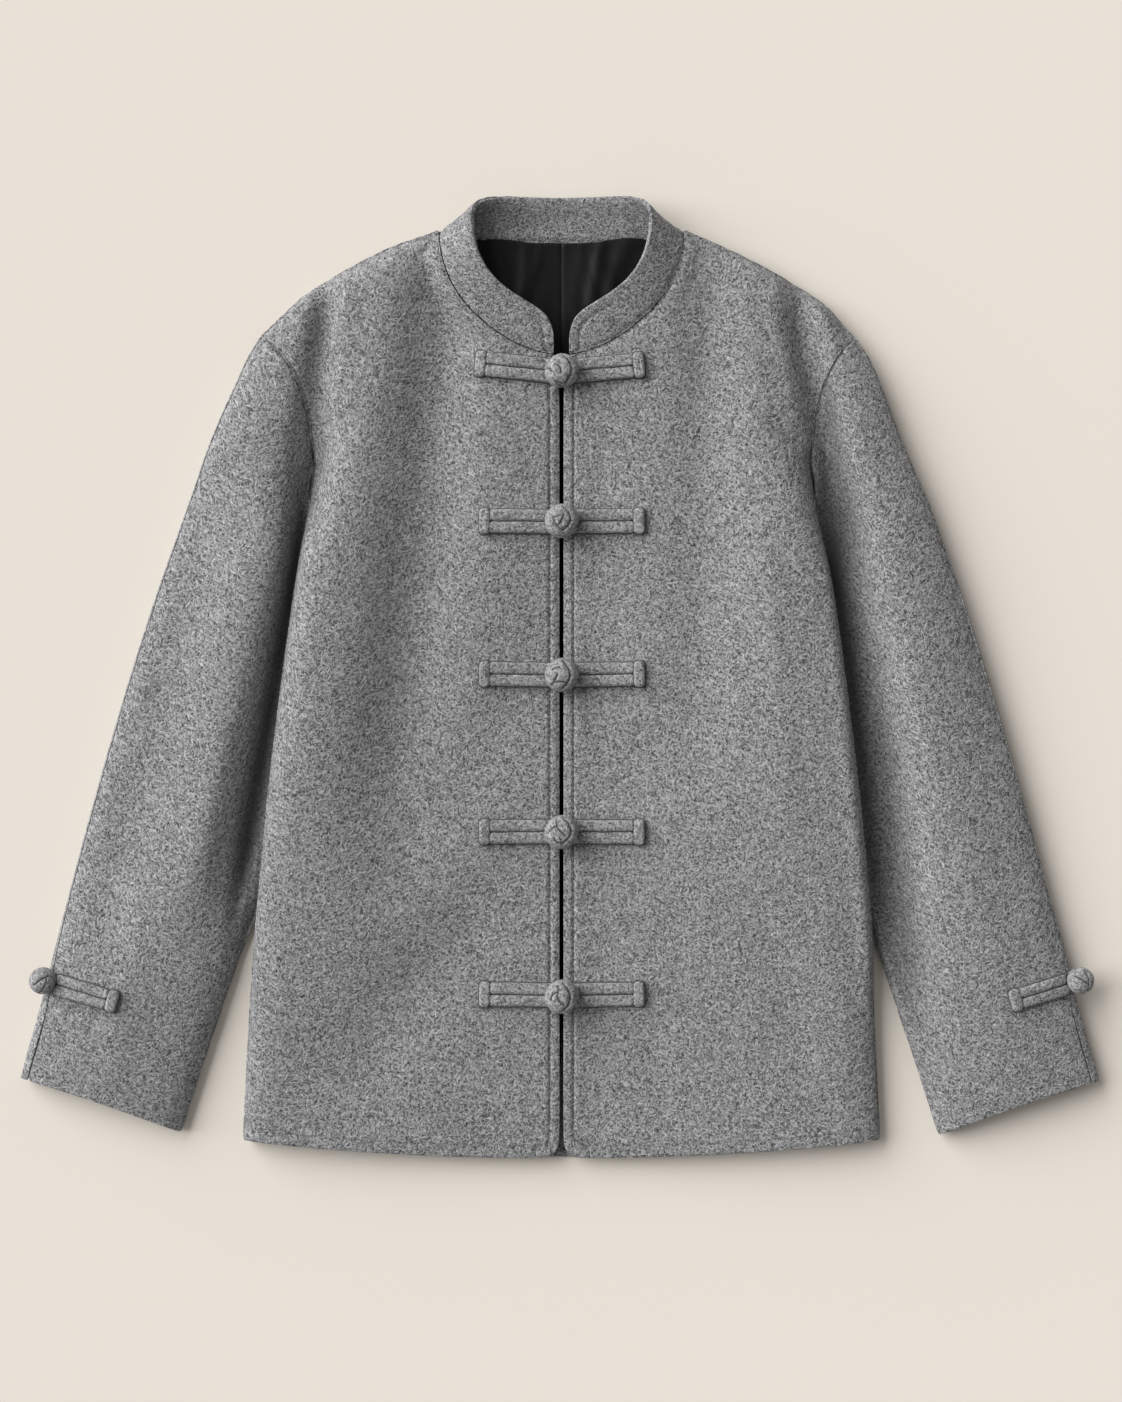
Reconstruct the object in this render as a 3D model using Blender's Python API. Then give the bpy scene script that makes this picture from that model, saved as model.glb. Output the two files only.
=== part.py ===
"""Mandarin collar jacket in grey wool, laid flat on its back with the front up.

Sizes are in millimetres and become metres when a mesh is made. Tables give places on the garment as across
(out from the centre line), down (from the neck point, where collar and shoulder meet, towards the hem) and up
(height above the surface it lies on). The left side has negative X, and down runs along -Y.
"""
from collections import namedtuple
from math import cos, pi, radians, sin

import bmesh
import bpy
import numpy as np
from mathutils import Matrix, Vector
from mathutils.bvhtree import BVHTree

METRE = 0.001

# Cloth walls, and the gaps left where pieces are sewn together or lie on each other
WOOL_WALL = 2.5
COLLAR_WALL = 4.0
LINING_WALL = 1.0
SEAM_GAP = 0.3
COLLAR_GAP = 0.5
COLLAR_BACK_GAP = 1.2
SEAT_GAP = 0.4

# Front edge and hem
FRONT_HALF_GAP = 1.5
NECK_SPREAD = 18.0
HEM_DOWN = 699.0
SIDE_HEM_DOWN = 685.0
HEM_CORNER = 13.0

# How the layers round over at the edges
RIDGE_INSET = 36.0
FRONT_FOLD = 28.0
BACK_FOLD = 10.0
LIFT_REACH = 38.0
LIFT_SLOPE = 40.0
ARMHOLE_TROUGH = 42.0
SHOULDER_UP = 13.0
SHOULDER_FRONT_FOLD = 26.0
SHOULDER_BACK_FOLD = 13.0

# Body sections: half width at the side fold, height of the side seam, of the ridge inside it, of the front
# edge, and how far the tucked sleeve lifts the side off the surface
Body = namedtuple("Body", "down half_width seam_up ridge_up centre_up lift")
BODY = (
    Body(-30, 190.0, 14.0, 24.0, 20.0, 0.0),
    Body(100, 188.0, 14.0, 29.0, 20.0, 0.0),
    Body(178, 186.0, 14.5, 32.0, 19.5, 9.0),
    Body(230, 194.5, 19.0, 35.5, 18.5, 12.0),
    Body(300, 205.0, 21.5, 37.0, 17.5, 11.5),
    Body(380, 215.5, 21.5, 36.0, 17.0, 11.5),
    Body(455, 224.0, 20.0, 33.0, 16.5, 11.5),
    Body(505, 228.5, 18.0, 30.0, 16.2, 11.0),
    Body(535, 231.5, 15.5, 27.5, 16.0, 7.0),
    Body(600, 236.0, 11.5, 23.0, 15.0, 0.0),
    Body(700, 241.0, 9.5, 18.5, 13.5, 0.0),
)

# Shoulder fold, from the neck point to the shoulder point
Shoulder = namedtuple("Shoulder", "across down")
SHOULDER = (
    Shoulder(92.8, 0.0),
    Shoulder(130.0, 16.5),
    Shoulder(173.0, 39.0),
    Shoulder(196.0, 54.0),
    Shoulder(211.0, 68.0),
    Shoulder(226.5, 82.0),
)

# Armhole seam, from the shoulder point to the underarm, with its height on the front and on the back
Armhole = namedtuple("Armhole", "across down front_up back_up")
ARMHOLE = (
    Armhole(226.5, 82.0, 13.0, 13.0),
    Armhole(220.5, 86.4, 20.0, 4.0),
    Armhole(210.0, 94.0, 22.5, 2.0),
    Armhole(198.7, 111.0, 25.0, 0.0),
    Armhole(192.4, 131.0, 26.0, 0.0),
    Armhole(188.8, 151.0, 24.5, 1.5),
    Armhole(187.0, 167.0, 21.0, 6.0),
    Armhole(186.0, 178.0, 14.5, 14.5),
)
ARMHOLE_STATIONS = (0, 0.05, 0.13, 0.25, 0.4, 0.55, 0.7, 0.83, 0.93, 1)

# Collar sections: the neck seam and the top edge above it. The front ones run from the centre front to the
# neck point, and the back ones go on to the centre back, with the seam's height there.
CollarFront = namedtuple("CollarFront", "seam_across seam_down top_across top_down top_up")
COLLAR_FRONT = (
    CollarFront(5.8, 95.0, 5.8, 80.0, 23.0),
    CollarFront(9.2, 94.7, 8.6, 69.5, 25.0),
    CollarFront(14.5, 93.6, 14.3, 62.8, 26.0),
    CollarFront(24.0, 91.0, 25.5, 56.0, 27.5),
    CollarFront(41.8, 83.3, 38.0, 48.5, 29.0),
    CollarFront(59.9, 69.8, 48.0, 41.0, 31.0),
    CollarFront(72.8, 57.0, 56.0, 32.0, 33.0),
    CollarFront(84.4, 40.2, 62.5, 21.0, 35.0),
    CollarFront(91.5, 18.0, 66.5, 6.0, 36.0),
    CollarFront(92.8, 0.0, 68.0, -9.0, 35.0),
)
CollarBack = namedtuple("CollarBack", "seam_across seam_down seam_up top_across top_down top_up")
COLLAR_BACK = (
    CollarBack(88.0, 1.5, 7.5, 66.0, -18.0, 30.0),
    CollarBack(76.0, 4.5, 2.5, 59.0, -23.5, 22.0),
    CollarBack(55.0, 7.5, 0.4, 46.0, -25.5, 13.0),
    CollarBack(28.0, 9.6, 0.0, 24.5, -25.2, 7.0),
    CollarBack(0.0, 10.2, 0.0, 0.0, -24.6, 5.0),
)
COLLAR_HEIGHTS = (0, 0.35, 0.7, 1)

# Sleeve edges, from the armhole to the cuff
SleeveOuter = namedtuple("SleeveOuter", "across down")
SLEEVE_OUTER = (
    SleeveOuter(226.5, 82.0),
    SleeveOuter(239.0, 101.0),
    SleeveOuter(250.0, 129.0),
    SleeveOuter(271.0, 189.0),
    SleeveOuter(303.0, 279.0),
    SleeveOuter(331.0, 369.0),
    SleeveOuter(356.5, 459.0),
    SleeveOuter(380.0, 549.0),
    SleeveOuter(404.6, 635.0),
)
SleeveInner = namedtuple("SleeveInner", "across down up")
SLEEVE_INNER = (
    SleeveInner(186.0, 178.0, 14.5),
    SleeveInner(189.6, 191.0, 9.5),
    SleeveInner(190.5, 204.0, 6.0),
    SleeveInner(187.0, 224.0, 4.5),
    SleeveInner(180.0, 252.0, 4.0),
    SleeveInner(175.0, 290.0, 4.0),
    SleeveInner(177.0, 330.0, 4.0),
    SleeveInner(186.0, 380.0, 4.0),
    SleeveInner(198.5, 430.0, 4.0),
    SleeveInner(214.0, 480.0, 4.0),
    SleeveInner(231.5, 530.0, 5.0),
    SleeveInner(255.0, 594.0, 8.0),
    SleeveInner(282.0, 677.0, 7.0),
)

# Sleeve sections along its length: height of the dome and of the outer fold, how far the outer seam lies in
# from the fold, and how wide that seam is open, as it is along the cuff vent
Sleeve = namedtuple("Sleeve", "along dome_up outer_up seam_in slit")
SLEEVE = (
    Sleeve(0.00, 26.0, 13.0, 1.0, 0.3),
    Sleeve(0.12, 30.0, 12.0, 1.6, 0.3),
    Sleeve(0.35, 33.0, 11.5, 2.0, 0.3),
    Sleeve(0.65, 31.0, 11.0, 2.0, 0.3),
    Sleeve(0.84, 27.0, 10.0, 2.2, 0.3),
    Sleeve(0.90, 25.0, 9.5, 7.5, 0.4),
    Sleeve(0.95, 23.5, 9.0, 7.5, 1.4),
    Sleeve(1.00, 21.0, 8.5, 7.5, 0.8),
)
SLEEVE_ROWS = (0, 0.035, 0.08, 0.14, 0.21, 0.29, 0.37, 0.46, 0.55, 0.64, 0.73, 0.8, 0.86, 0.9, 0.95, 1)
WRAP_COLUMNS = (1, 0.35)
SLEEVE_PEAK = 0.42
SLEEVE_ROUNDNESS = 2.2
SLEEVE_OUTER_FOLD = 11.0
SLEEVE_INNER_FOLD = 6.0
TUCK_RISE = 3.6
TUCK_MARGIN = 6.0
TUCK_FULL = 10.0
ARMHOLE_BLEND = 45.0
CUFF_BOW = 2.5

# Largest soft folds of the fronts: a trough between two points, with its half width and its depth
Fold = namedtuple("Fold", "side across down end_across end_down half_width depth")
FRONT_FOLDS = (
    Fold("left", 152, 66, 174, 150, 15, 4.0),
    Fold("left", 112, 150, 92, 400, 38, 3.2),
    Fold("left", 34, 490, 185, 640, 34, 2.8),
    Fold("right", 150, 62, 172, 150, 15, 4.0),
    Fold("right", 104, 24, 116, 110, 26, 2.2),
    Fold("right", 30, 590, 36, 690, 20, 1.6),
)

# Soft pleats of the back lining below the neck: a ridge with its half width and its height
Pleat = namedtuple("Pleat", "side across end_across end_down half_width height")
LINING_PLEATS = (
    Pleat("left", 22, 20, 150, 5, 1.6),
    Pleat("left", 46, 42, 120, 6, 2.0),
    Pleat("right", 28, 20, 170, 6, 2.2),
    Pleat("right", 46, 36, 130, 5, 2.8),
    Pleat("right", 60, 52, 90, 5, 2.0),
)
LINING_EDGE_DROP = 1.8
LINING_FLAT_START = 12.0
LINING_NECK_HALF = 58.0
LINING_HALF = 104.0
LINING_SHOULDER_DOWN = 95.0
LINING_HEM_DOWN = 676.0

# Grids: columns across a front, rows down a side, columns across a half back and across a half lining
FRONT_COLUMNS = (
    *(0, 0.022, 0.046, 0.072, 0.13, 0.22, 0.33, 0.45),
    *(0.57, 0.68, 0.77, 0.85, 0.91, 0.955, 0.985, 1),
)
BACK_COLUMNS = (0.2, 0.42, 0.6, 0.75, 0.87, 0.95, 0.985, 1)
SIDE_ROWS = 13
LINING_COLUMNS = (0, 0.1, 0.2, 0.32, 0.44, 0.6, 0.8, 1)
LINING_ROWS = (0, 0.03, 0.07, 0.12, 0.18, 0.26, 0.4, 0.6, 0.8, 1)
EDGE_SAMPLES = 41
CORNER_SAMPLES = 9
FOLD_TURN_ROWS = 3
SHARP_ANGLE = 50.0

# Front frogs: where each sits, and how far its strips tilt up towards their ends
Frog = namedtuple("Frog", "down tilt")
FROGS = (Frog(108.0, 8.0), Frog(220.0, 0.0), Frog(335.0, 0.5), Frog(452.5, -0.5), Frog(575.5, 0.8))
STRIP_WIDTH = 18.0
STRIP_HEIGHT = 4.6
STRIP_START = 2.5
STRIP_END = 53.5
STRIP_RINGS = 7
END_LENGTH = 7.6
END_WIDTH = 19.4
END_HEIGHT = 6.0
END_ROUNDING = 2.2
KNOT_RADIUS = 12.2
KNOT_SEAT = 7.6

# Cross section of a frog's strip, two cords side by side, as shares of its width and height
StripPoint = namedtuple("StripPoint", "across rise")
STRIP_SECTION = (
    StripPoint(-0.47, 0.0),
    StripPoint(-0.5, 0.32),
    StripPoint(-0.43, 0.74),
    StripPoint(-0.27, 1.0),
    StripPoint(-0.11, 0.82),
    StripPoint(0.0, 0.4),
    StripPoint(0.11, 0.82),
    StripPoint(0.27, 1.0),
    StripPoint(0.43, 0.74),
    StripPoint(0.5, 0.32),
    StripPoint(0.47, 0.0),
)
SEAT_SPOTS = (-0.5, -0.2, 0, 0.2, 0.5)

# Cuff frogs: the ball's place, the turn of the strip down towards the inside of the sleeve, and its sizes
CUFF_KNOT_ACROSS = 389.0
CUFF_KNOT_DOWN = 564.0
CUFF_TILT = 11.0
CUFF_STRIP_WIDTH = 16.0
CUFF_STRIP_START = 9.6
CUFF_STRIP_END = 50.5
CUFF_STRIP_RINGS = 11
CUFF_END_LENGTH = 8.0
CUFF_END_WIDTH = 17.0
CUFF_KNOT_RADIUS = 9.6
CUFF_KNOT_UP = 23.0

# Grooves between the strands of a knot: the axis each one runs round, its place along it and its width
Groove = namedtuple("Groove", "axis place width")
KNOT_GROOVES = (
    Groove((0.92, 0.35, 0.18), 0.45, 0.12),
    Groove((-0.55, 0.8, 0.25), 0.3, 0.12),
    Groove((-0.45, -0.85, 0.28), 0.34, 0.12),
)
KNOT_GROOVE_DEPTH = 0.085
KNOT_SEGMENTS = 20
KNOT_RINGS = 12

# Where down is zero along Y, so that the outline is centred on the origin
COLLAR_TOP_DOWN = min(section.top_down for section in COLLAR_BACK)
NECK_POINT_Y = (HEM_DOWN + COLLAR_TOP_DOWN) / 2

RAY_START = 500.0
UNDER_ALL = (0, 0, -RAY_START)
ABOVE_ALL = (0, 0, RAY_START)
NECK_MIDDLE = (0, NECK_POINT_Y, 0)

# A panel's edge: its points and their normals
Rim = namedtuple("Rim", "points normals")

WOOL_GREY = (0.205, 0.206, 0.213)
TRIM_GREY = (0.19, 0.191, 0.198)
LINING_BLACK = (0.008, 0.008, 0.01)


def smooth_curve(knots, values, places):
    """Values at the places, on a smooth curve through the knots that never overshoots them."""
    knots = np.asarray(knots, float)
    values = np.asarray(values, float)
    places = np.clip(np.asarray(places, float), knots[0], knots[-1])
    steps = np.diff(knots)[:, None]
    secants = np.diff(values, axis=0) / steps
    before, after = secants[:-1], secants[1:]
    total = np.where(before + after == 0, 1, before + after)
    bends = np.where(before * after > 0, 2 * before * after / total, 0)
    slopes = np.concatenate([secants[:1], bends, secants[-1:]])
    span = np.clip(np.searchsorted(knots, places, side="right") - 1, 0, len(knots) - 2)
    step = steps[span]
    t = (places - knots[span])[:, None] / step
    return (
        (1 + 2 * t) * (1 - t) ** 2 * values[span]
        + t * (1 - t) ** 2 * step * slopes[span]
        + t**2 * (3 - 2 * t) * values[span + 1]
        - t**2 * (1 - t) * step * slopes[span + 1]
    )


def read_table(table, key, places):
    """The table's columns at places along its key column, as arrays of the places' shape."""
    rows = np.array(table, float)
    places = np.asarray(places, float)
    knots = rows[:, table[0]._fields.index(key)]
    columns = smooth_curve(knots, rows, places.ravel()).T
    return type(table[0])(*(column.reshape(places.shape) for column in columns))


def arc_shares(points):
    """How far along its length each point of a line lies, from 0 to 1."""
    lengths = np.linalg.norm(np.diff(points[:, :2], axis=0), axis=1)
    shares = np.concatenate([[0], np.cumsum(lengths)])
    return shares / shares[-1]


def along_table(table, fractions):
    """The table's columns at fractions of the length of the curve that its first two columns draw."""
    rows = np.array(table, float)
    return smooth_curve(arc_shares(rows), rows, fractions)


def resample_at(stations, rows, places):
    """Rows of values given at stations, read at other places."""
    return np.stack([np.interp(places, stations, column) for column in rows.T], axis=1)


def resample(line, fractions):
    """Points at fractions of a line's length."""
    return resample_at(arc_shares(line), line, fractions)


def ease(share):
    """Soft step from 0 to 1."""
    share = np.clip(share, 0, 1)
    return share * share * (3 - 2 * share)


def quarter_round(share):
    """Rise of a rounded fold, from 0 at its edge to 1 where it meets the flat."""
    share = np.clip(share, 0, 1)
    return np.sqrt(1 - (1 - share) ** 2)


def fill_patch(top, bottom, inner, outer):
    """Plan points inside four edges: rows run from top to bottom, columns from inner to outer."""
    down = ((arc_shares(inner) + arc_shares(outer)) / 2)[:, None, None]
    across = ((arc_shares(top) + arc_shares(bottom)) / 2)[None, :, None]
    ruled_down = (1 - down) * top[None] + down * bottom[None]
    ruled_across = (1 - across) * inner[:, None] + across * outer[:, None]
    top_corners = (1 - across) * top[0] + across * top[-1]
    bottom_corners = (1 - across) * bottom[0] + across * bottom[-1]
    return ruled_down + ruled_across - (1 - down) * top_corners - down * bottom_corners


def place(plan, heights, side=1):
    """Points in space, from across and down in plan and their heights, on the right (1) or left (-1)."""
    return np.stack([plan[..., 0] * side, NECK_POINT_Y - plan[..., 1], heights], axis=-1)


def ridge_height(ridges, across, down):
    """Summed height of soft ridges, each given by its start, end, half width and height."""
    height = np.zeros_like(across)
    for start, end, half_width, tall in ridges:
        start = np.array(start, float)
        run = np.array(end, float) - start
        away = np.stack([across, down], axis=-1) - start
        share = np.clip((away @ run) / (run @ run), 0, 1)
        gap = np.linalg.norm(away - share[..., None] * run, axis=-1)
        height += tall * np.exp(-((gap / half_width) ** 2))
    return height


def make_material(name, colour, roughness):
    """A plain cloth finish."""
    finish = bpy.data.materials.get(name) or bpy.data.materials.new(name)
    finish.use_nodes = True
    shader = finish.node_tree.nodes["Principled BSDF"]
    shader.inputs["Base Color"].default_value = (*colour, 1)
    shader.inputs["Roughness"].default_value = roughness
    shader.inputs["Metallic"].default_value = 0
    return finish


def wool():
    return make_material("grey_wool", WOOL_GREY, 0.95)


def trim():
    return make_material("frog_wool", TRIM_GREY, 0.92)


def satin():
    return make_material("black_lining", LINING_BLACK, 0.45)


def add_object(name, shape, finish):
    """Turn a millimetre bmesh into a named object."""
    bmesh.ops.scale(shape, vec=(METRE, METRE, METRE), verts=shape.verts)
    mesh = bpy.data.meshes.new(name)
    shape.to_mesh(mesh)
    shape.free()
    mesh.materials.append(finish)
    mesh.shade_smooth()
    mesh.set_sharp_from_angle(angle=radians(SHARP_ANGLE))
    item = bpy.data.objects.new(name, mesh)
    bpy.context.collection.objects.link(item)
    return item


def grid_faces(rows, columns):
    """Corner numbers of the quads of a grid of points."""
    first = [row * columns + column for row in range(rows - 1) for column in range(columns - 1)]
    return [(corner, corner + 1, corner + columns + 1, corner + columns) for corner in first]


def grid_rim(rows, columns):
    """Point numbers round the edge of a grid."""
    numbers = np.arange(rows * columns).reshape(rows, columns)
    return [*numbers[0, :-1], *numbers[:-1, -1], *numbers[-1, :0:-1], *numbers[:0:-1, 0]]


def outward_normals(points, inside):
    """Normals of a grid of points, facing away from a place on the inner side of the panel."""
    normals = np.cross(np.gradient(points, axis=0), np.gradient(points, axis=1))
    normals /= np.linalg.norm(normals, axis=2)[..., None]
    return normals if ((points - np.array(inside)) * normals).sum() > 0 else -normals


def level(normals, *edges):
    """Turn the normals along folded edges level, so that the two rims sewn there face each other squarely."""
    for edge in edges:
        normals[edge][..., 2] = 0
        normals[edge] /= np.linalg.norm(normals[edge], axis=-1)[..., None]


def armhole_rim(points, normals, side):
    """A body panel's armhole edge. Its two ends, on the fold of the flat armhole, face out along the seam."""
    rows = len(ARMHOLE_STATIONS)
    seam = place(along_table(ARMHOLE, ARMHOLE_STATIONS)[:, :2], np.zeros(rows), side)
    for row, way in ((0, seam[0] - seam[1]), (rows - 1, seam[-1] - seam[-2])):
        normals[row] = way / np.linalg.norm(way)
    return Rim(points[:rows], normals[:rows])


def make_cloth(name, points, normals, wall, finish):
    """A cloth panel: its outer points, the inner ones a wall's thickness inside them, and the rim."""
    rows, columns = points.shape[:2]
    inside = points - wall * normals
    shape = bmesh.new()
    outer = [shape.verts.new(point) for point in points.reshape(-1, 3)]
    inner = [shape.verts.new(point) for point in inside.reshape(-1, 3)]
    for face in grid_faces(rows, columns):
        shape.faces.new([outer[number] for number in face])
        shape.faces.new([inner[number] for number in reversed(face)])
    rim = grid_rim(rows, columns)
    for here, there in zip(rim, rim[1:] + rim[:1]):
        shape.faces.new((outer[here], outer[there], inner[there], inner[here]))
    bmesh.ops.recalc_face_normals(shape, faces=shape.faces)
    add_object(name, shape, finish)


def surface_of(points):
    """A panel's outer points as a surface that heights can be read from."""
    rows, columns = points.shape[:2]
    return BVHTree.FromPolygons([Vector(point) for point in points.reshape(-1, 3)], grid_faces(rows, columns))


def height_on(surfaces, spots):
    """The greatest height that the surfaces reach at any of the spots."""
    rays = [(surface, Vector((x, y, RAY_START))) for surface in surfaces for x, y in spots]
    hits = [surface.ray_cast(start, Vector((0, 0, -1)))[0] for surface, start in rays]
    return max(hit.z for hit in hits if hit)


def seam_fold_share():
    """How far each body row has turned from an armhole seam (0) into a side fold (1)."""
    past_underarm = np.arange(len(ARMHOLE_STATIONS) + SIDE_ROWS) - len(ARMHOLE_STATIONS)
    return np.clip(past_underarm / FOLD_TURN_ROWS + 1, 0, 1)[:, None]


def side_line():
    """Outer edge of the body: the armhole from the shoulder point, then the side fold to the hem."""
    armhole = along_table(ARMHOLE, ARMHOLE_STATIONS)[:, :2]
    down = np.linspace(armhole[-1, 1], SIDE_HEM_DOWN, SIDE_ROWS + 1)[1:]
    side = np.stack([read_table(BODY, "down", down).half_width, down], axis=1)
    return np.concatenate([armhole, side])


def hem_line(start, corner, fractions):
    """Hem from a place near the centre out to the side, with the start's corner rounded."""
    half_width = side_line()[-1, 0]
    across = np.linspace(start + corner, half_width, EDGE_SAMPLES)
    dip = (HEM_DOWN - SIDE_HEM_DOWN) * (1 - (across / half_width) ** 2)
    line = np.stack([across, SIDE_HEM_DOWN + dip], axis=1)
    if corner:
        turn = np.linspace(0, pi / 2, CORNER_SAMPLES)[:-1]
        arc = np.stack([-np.cos(turn), np.sin(turn)], axis=1) * corner
        line = np.concatenate([line[0] - (0, corner) + arc, line])
    return resample(line, fractions)


def edge_distances(plan):
    """Distance of each point from the outer end of its row and from the top of its column."""
    from_outer = np.linalg.norm(plan - plan[:, -1:], axis=2)
    from_top = np.linalg.norm(plan - plan[:1], axis=2)
    return from_outer, from_top


def front_points(name, side):
    """Outer points of one front: rows from the shoulder to the hem, columns from the centre to the side."""
    neck = np.array([(row.seam_across, row.seam_down) for row in reversed(COLLAR_FRONT)])
    hem = hem_line(FRONT_HALF_GAP, HEM_CORNER, FRONT_COLUMNS)
    down = np.linspace(neck[-1, 1] + NECK_SPREAD, hem[0, 1], SIDE_ROWS)
    front_edge = np.stack([np.full_like(down, FRONT_HALF_GAP), down], axis=1)
    shoulder = along_table(SHOULDER, FRONT_COLUMNS)
    plan = fill_patch(shoulder, hem, np.concatenate([neck, front_edge]), side_line())

    body = read_table(BODY, "down", plan[..., 1])
    folds = [
        ((fold.across, fold.down), (fold.end_across, fold.end_down), fold.half_width, fold.depth)
        for fold in FRONT_FOLDS
        if fold.side == name
    ]
    sag = ease(plan[..., 0] / (body.half_width - RIDGE_INSET))
    height = body.centre_up + (body.ridge_up - body.centre_up) * sag
    height -= ridge_height(folds, plan[..., 0], plan[..., 1])
    armhole_up = along_table(ARMHOLE, ARMHOLE_STATIONS)[:, 2]
    edge_up = np.concatenate([armhole_up, body.seam_up[len(armhole_up) :, -1]])[:, None]
    from_outer, from_top = edge_distances(plan)
    trough = ease(from_outer / ARMHOLE_TROUGH)
    fold = quarter_round(from_outer / FRONT_FOLD)
    height = edge_up + (height - edge_up) * (trough + (fold - trough) * seam_fold_share())
    height = SHOULDER_UP + (height - SHOULDER_UP) * quarter_round(from_top / SHOULDER_FRONT_FOLD)
    return place(plan, height, side)


def back_points():
    """Outer points of the back, face down: rows from the neck to the hem, columns from left to right."""
    neck = np.array([(row.seam_across, row.seam_down) for row in reversed(COLLAR_BACK)])
    neck_up = np.array([row.seam_up for row in reversed(COLLAR_BACK)])
    shoulder = along_table(SHOULDER, (0, *BACK_COLUMNS))
    outer = side_line()
    neck_share = shoulder[0, 0] / outer[-1, 0]
    below_neck = neck[:, 0] / outer[-1, 0]
    below_shoulder = neck_share + (1 - neck_share) * np.array((0, *BACK_COLUMNS))
    hem = hem_line(0, 0, np.concatenate([below_neck, below_shoulder]))
    underarm_row = len(ARMHOLE_STATIONS) - 1
    upper = neck[0, 1] + (outer[underarm_row, 1] - neck[0, 1]) * np.array(ARMHOLE_STATIONS)
    lower = np.linspace(upper[-1], HEM_DOWN, SIDE_ROWS + 1)[1:]
    centre_down = np.concatenate([upper, lower])
    centre = np.stack([np.zeros_like(centre_down), centre_down], axis=1)
    plan = fill_patch(np.concatenate([neck, shoulder]), hem, centre, outer)

    body = read_table(BODY, "down", plan[..., 1])
    from_outer, from_top = edge_distances(plan)
    armhole_up = along_table(ARMHOLE, ARMHOLE_STATIONS)[:, 3]
    edge_up = np.concatenate([armhole_up, body.seam_up[len(armhole_up) :, -1]])[:, None] - SEAM_GAP
    lift = body.lift * (1 - ease((from_outer - LIFT_REACH) / LIFT_SLOPE))
    trough = ease(from_outer / ARMHOLE_TROUGH)
    fold = quarter_round(from_outer / BACK_FOLD)
    height = np.maximum(edge_up + (lift - edge_up) * (trough + (fold - trough) * seam_fold_share()), 0)
    top_up = np.concatenate([neck_up, np.full(len(shoulder), SHOULDER_UP - SEAM_GAP)])[None]
    height += (top_up - height) * (1 - quarter_round(from_top / SHOULDER_BACK_FOLD))
    return np.concatenate([place(plan, height, -1)[:, :0:-1], place(plan, height)], axis=1)


def collar_points(front_left, front_right):
    """Outer points of the collar band, from its left end round the back to its right end."""
    def half(front, side):
        seams, tops = [], []
        for row, section in enumerate(COLLAR_FRONT, start=1):
            seams.append(front[len(COLLAR_FRONT) - row, 0])
            tops.append(place(np.array((section.top_across, section.top_down)), section.top_up, side))
        for section in COLLAR_BACK:
            seams.append(place(np.array((section.seam_across, section.seam_down)), section.seam_up, side))
            tops.append(place(np.array((section.top_across, section.top_down)), section.top_up, side))
        return np.array(seams), np.array(tops)

    left_seam, left_top = half(front_left, -1)
    right_seam, right_top = half(front_right, 1)
    seam = np.concatenate([left_seam, right_seam[-2::-1]])
    top = np.concatenate([left_top, right_top[-2::-1]])
    stand = top - seam
    half_gaps = [COLLAR_GAP] * len(COLLAR_FRONT) + [COLLAR_BACK_GAP] * len(COLLAR_BACK)
    gaps = np.array(half_gaps + half_gaps[-2::-1])[:, None]
    seam = seam + gaps * stand / np.linalg.norm(stand, axis=1)[:, None]
    return np.stack([seam + (top - seam) * share for share in COLLAR_HEIGHTS])


def sleeve_top_height(t, width, section, inner_up, tuck):
    """Height of a sleeve's upper side at distances t from its outer fold, over the whole width of a row."""
    peak = SLEEVE_PEAK * width
    away = np.clip(np.where(t < peak, (peak - t) / peak, (t - peak) / (width - peak)), 0, 1)
    dome = (1 - away**SLEEVE_ROUNDNESS) ** (1 / SLEEVE_ROUNDNESS)
    open_up = np.where(t < peak, section.outer_up, inner_up)
    plain = open_up + (section.dome_up - open_up) * dome
    strip_up = inner_up + TUCK_RISE
    strip_edge = width - tuck - TUCK_MARGIN
    slope = 1 - ease((t - peak) / (strip_edge - peak))
    tucked = strip_up + (section.dome_up - strip_up) * slope
    tucked -= TUCK_RISE * (1 - quarter_round((width - t) / SLEEVE_INNER_FOLD))
    tuck_share = min(tuck / TUCK_FULL, 1)
    return np.where(t < peak, plain, plain + (tucked - plain) * tuck_share)


def sleeve_bottom_height(t, width, section, inner_up):
    """Height of a sleeve's lower side, flat on the surface between its two folds."""
    outer = section.outer_up * (1 - quarter_round(t / SLEEVE_OUTER_FOLD))
    inner = (inner_up - SEAM_GAP) * (1 - quarter_round((width - t) / SLEEVE_INNER_FOLD))
    return outer + inner


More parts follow.
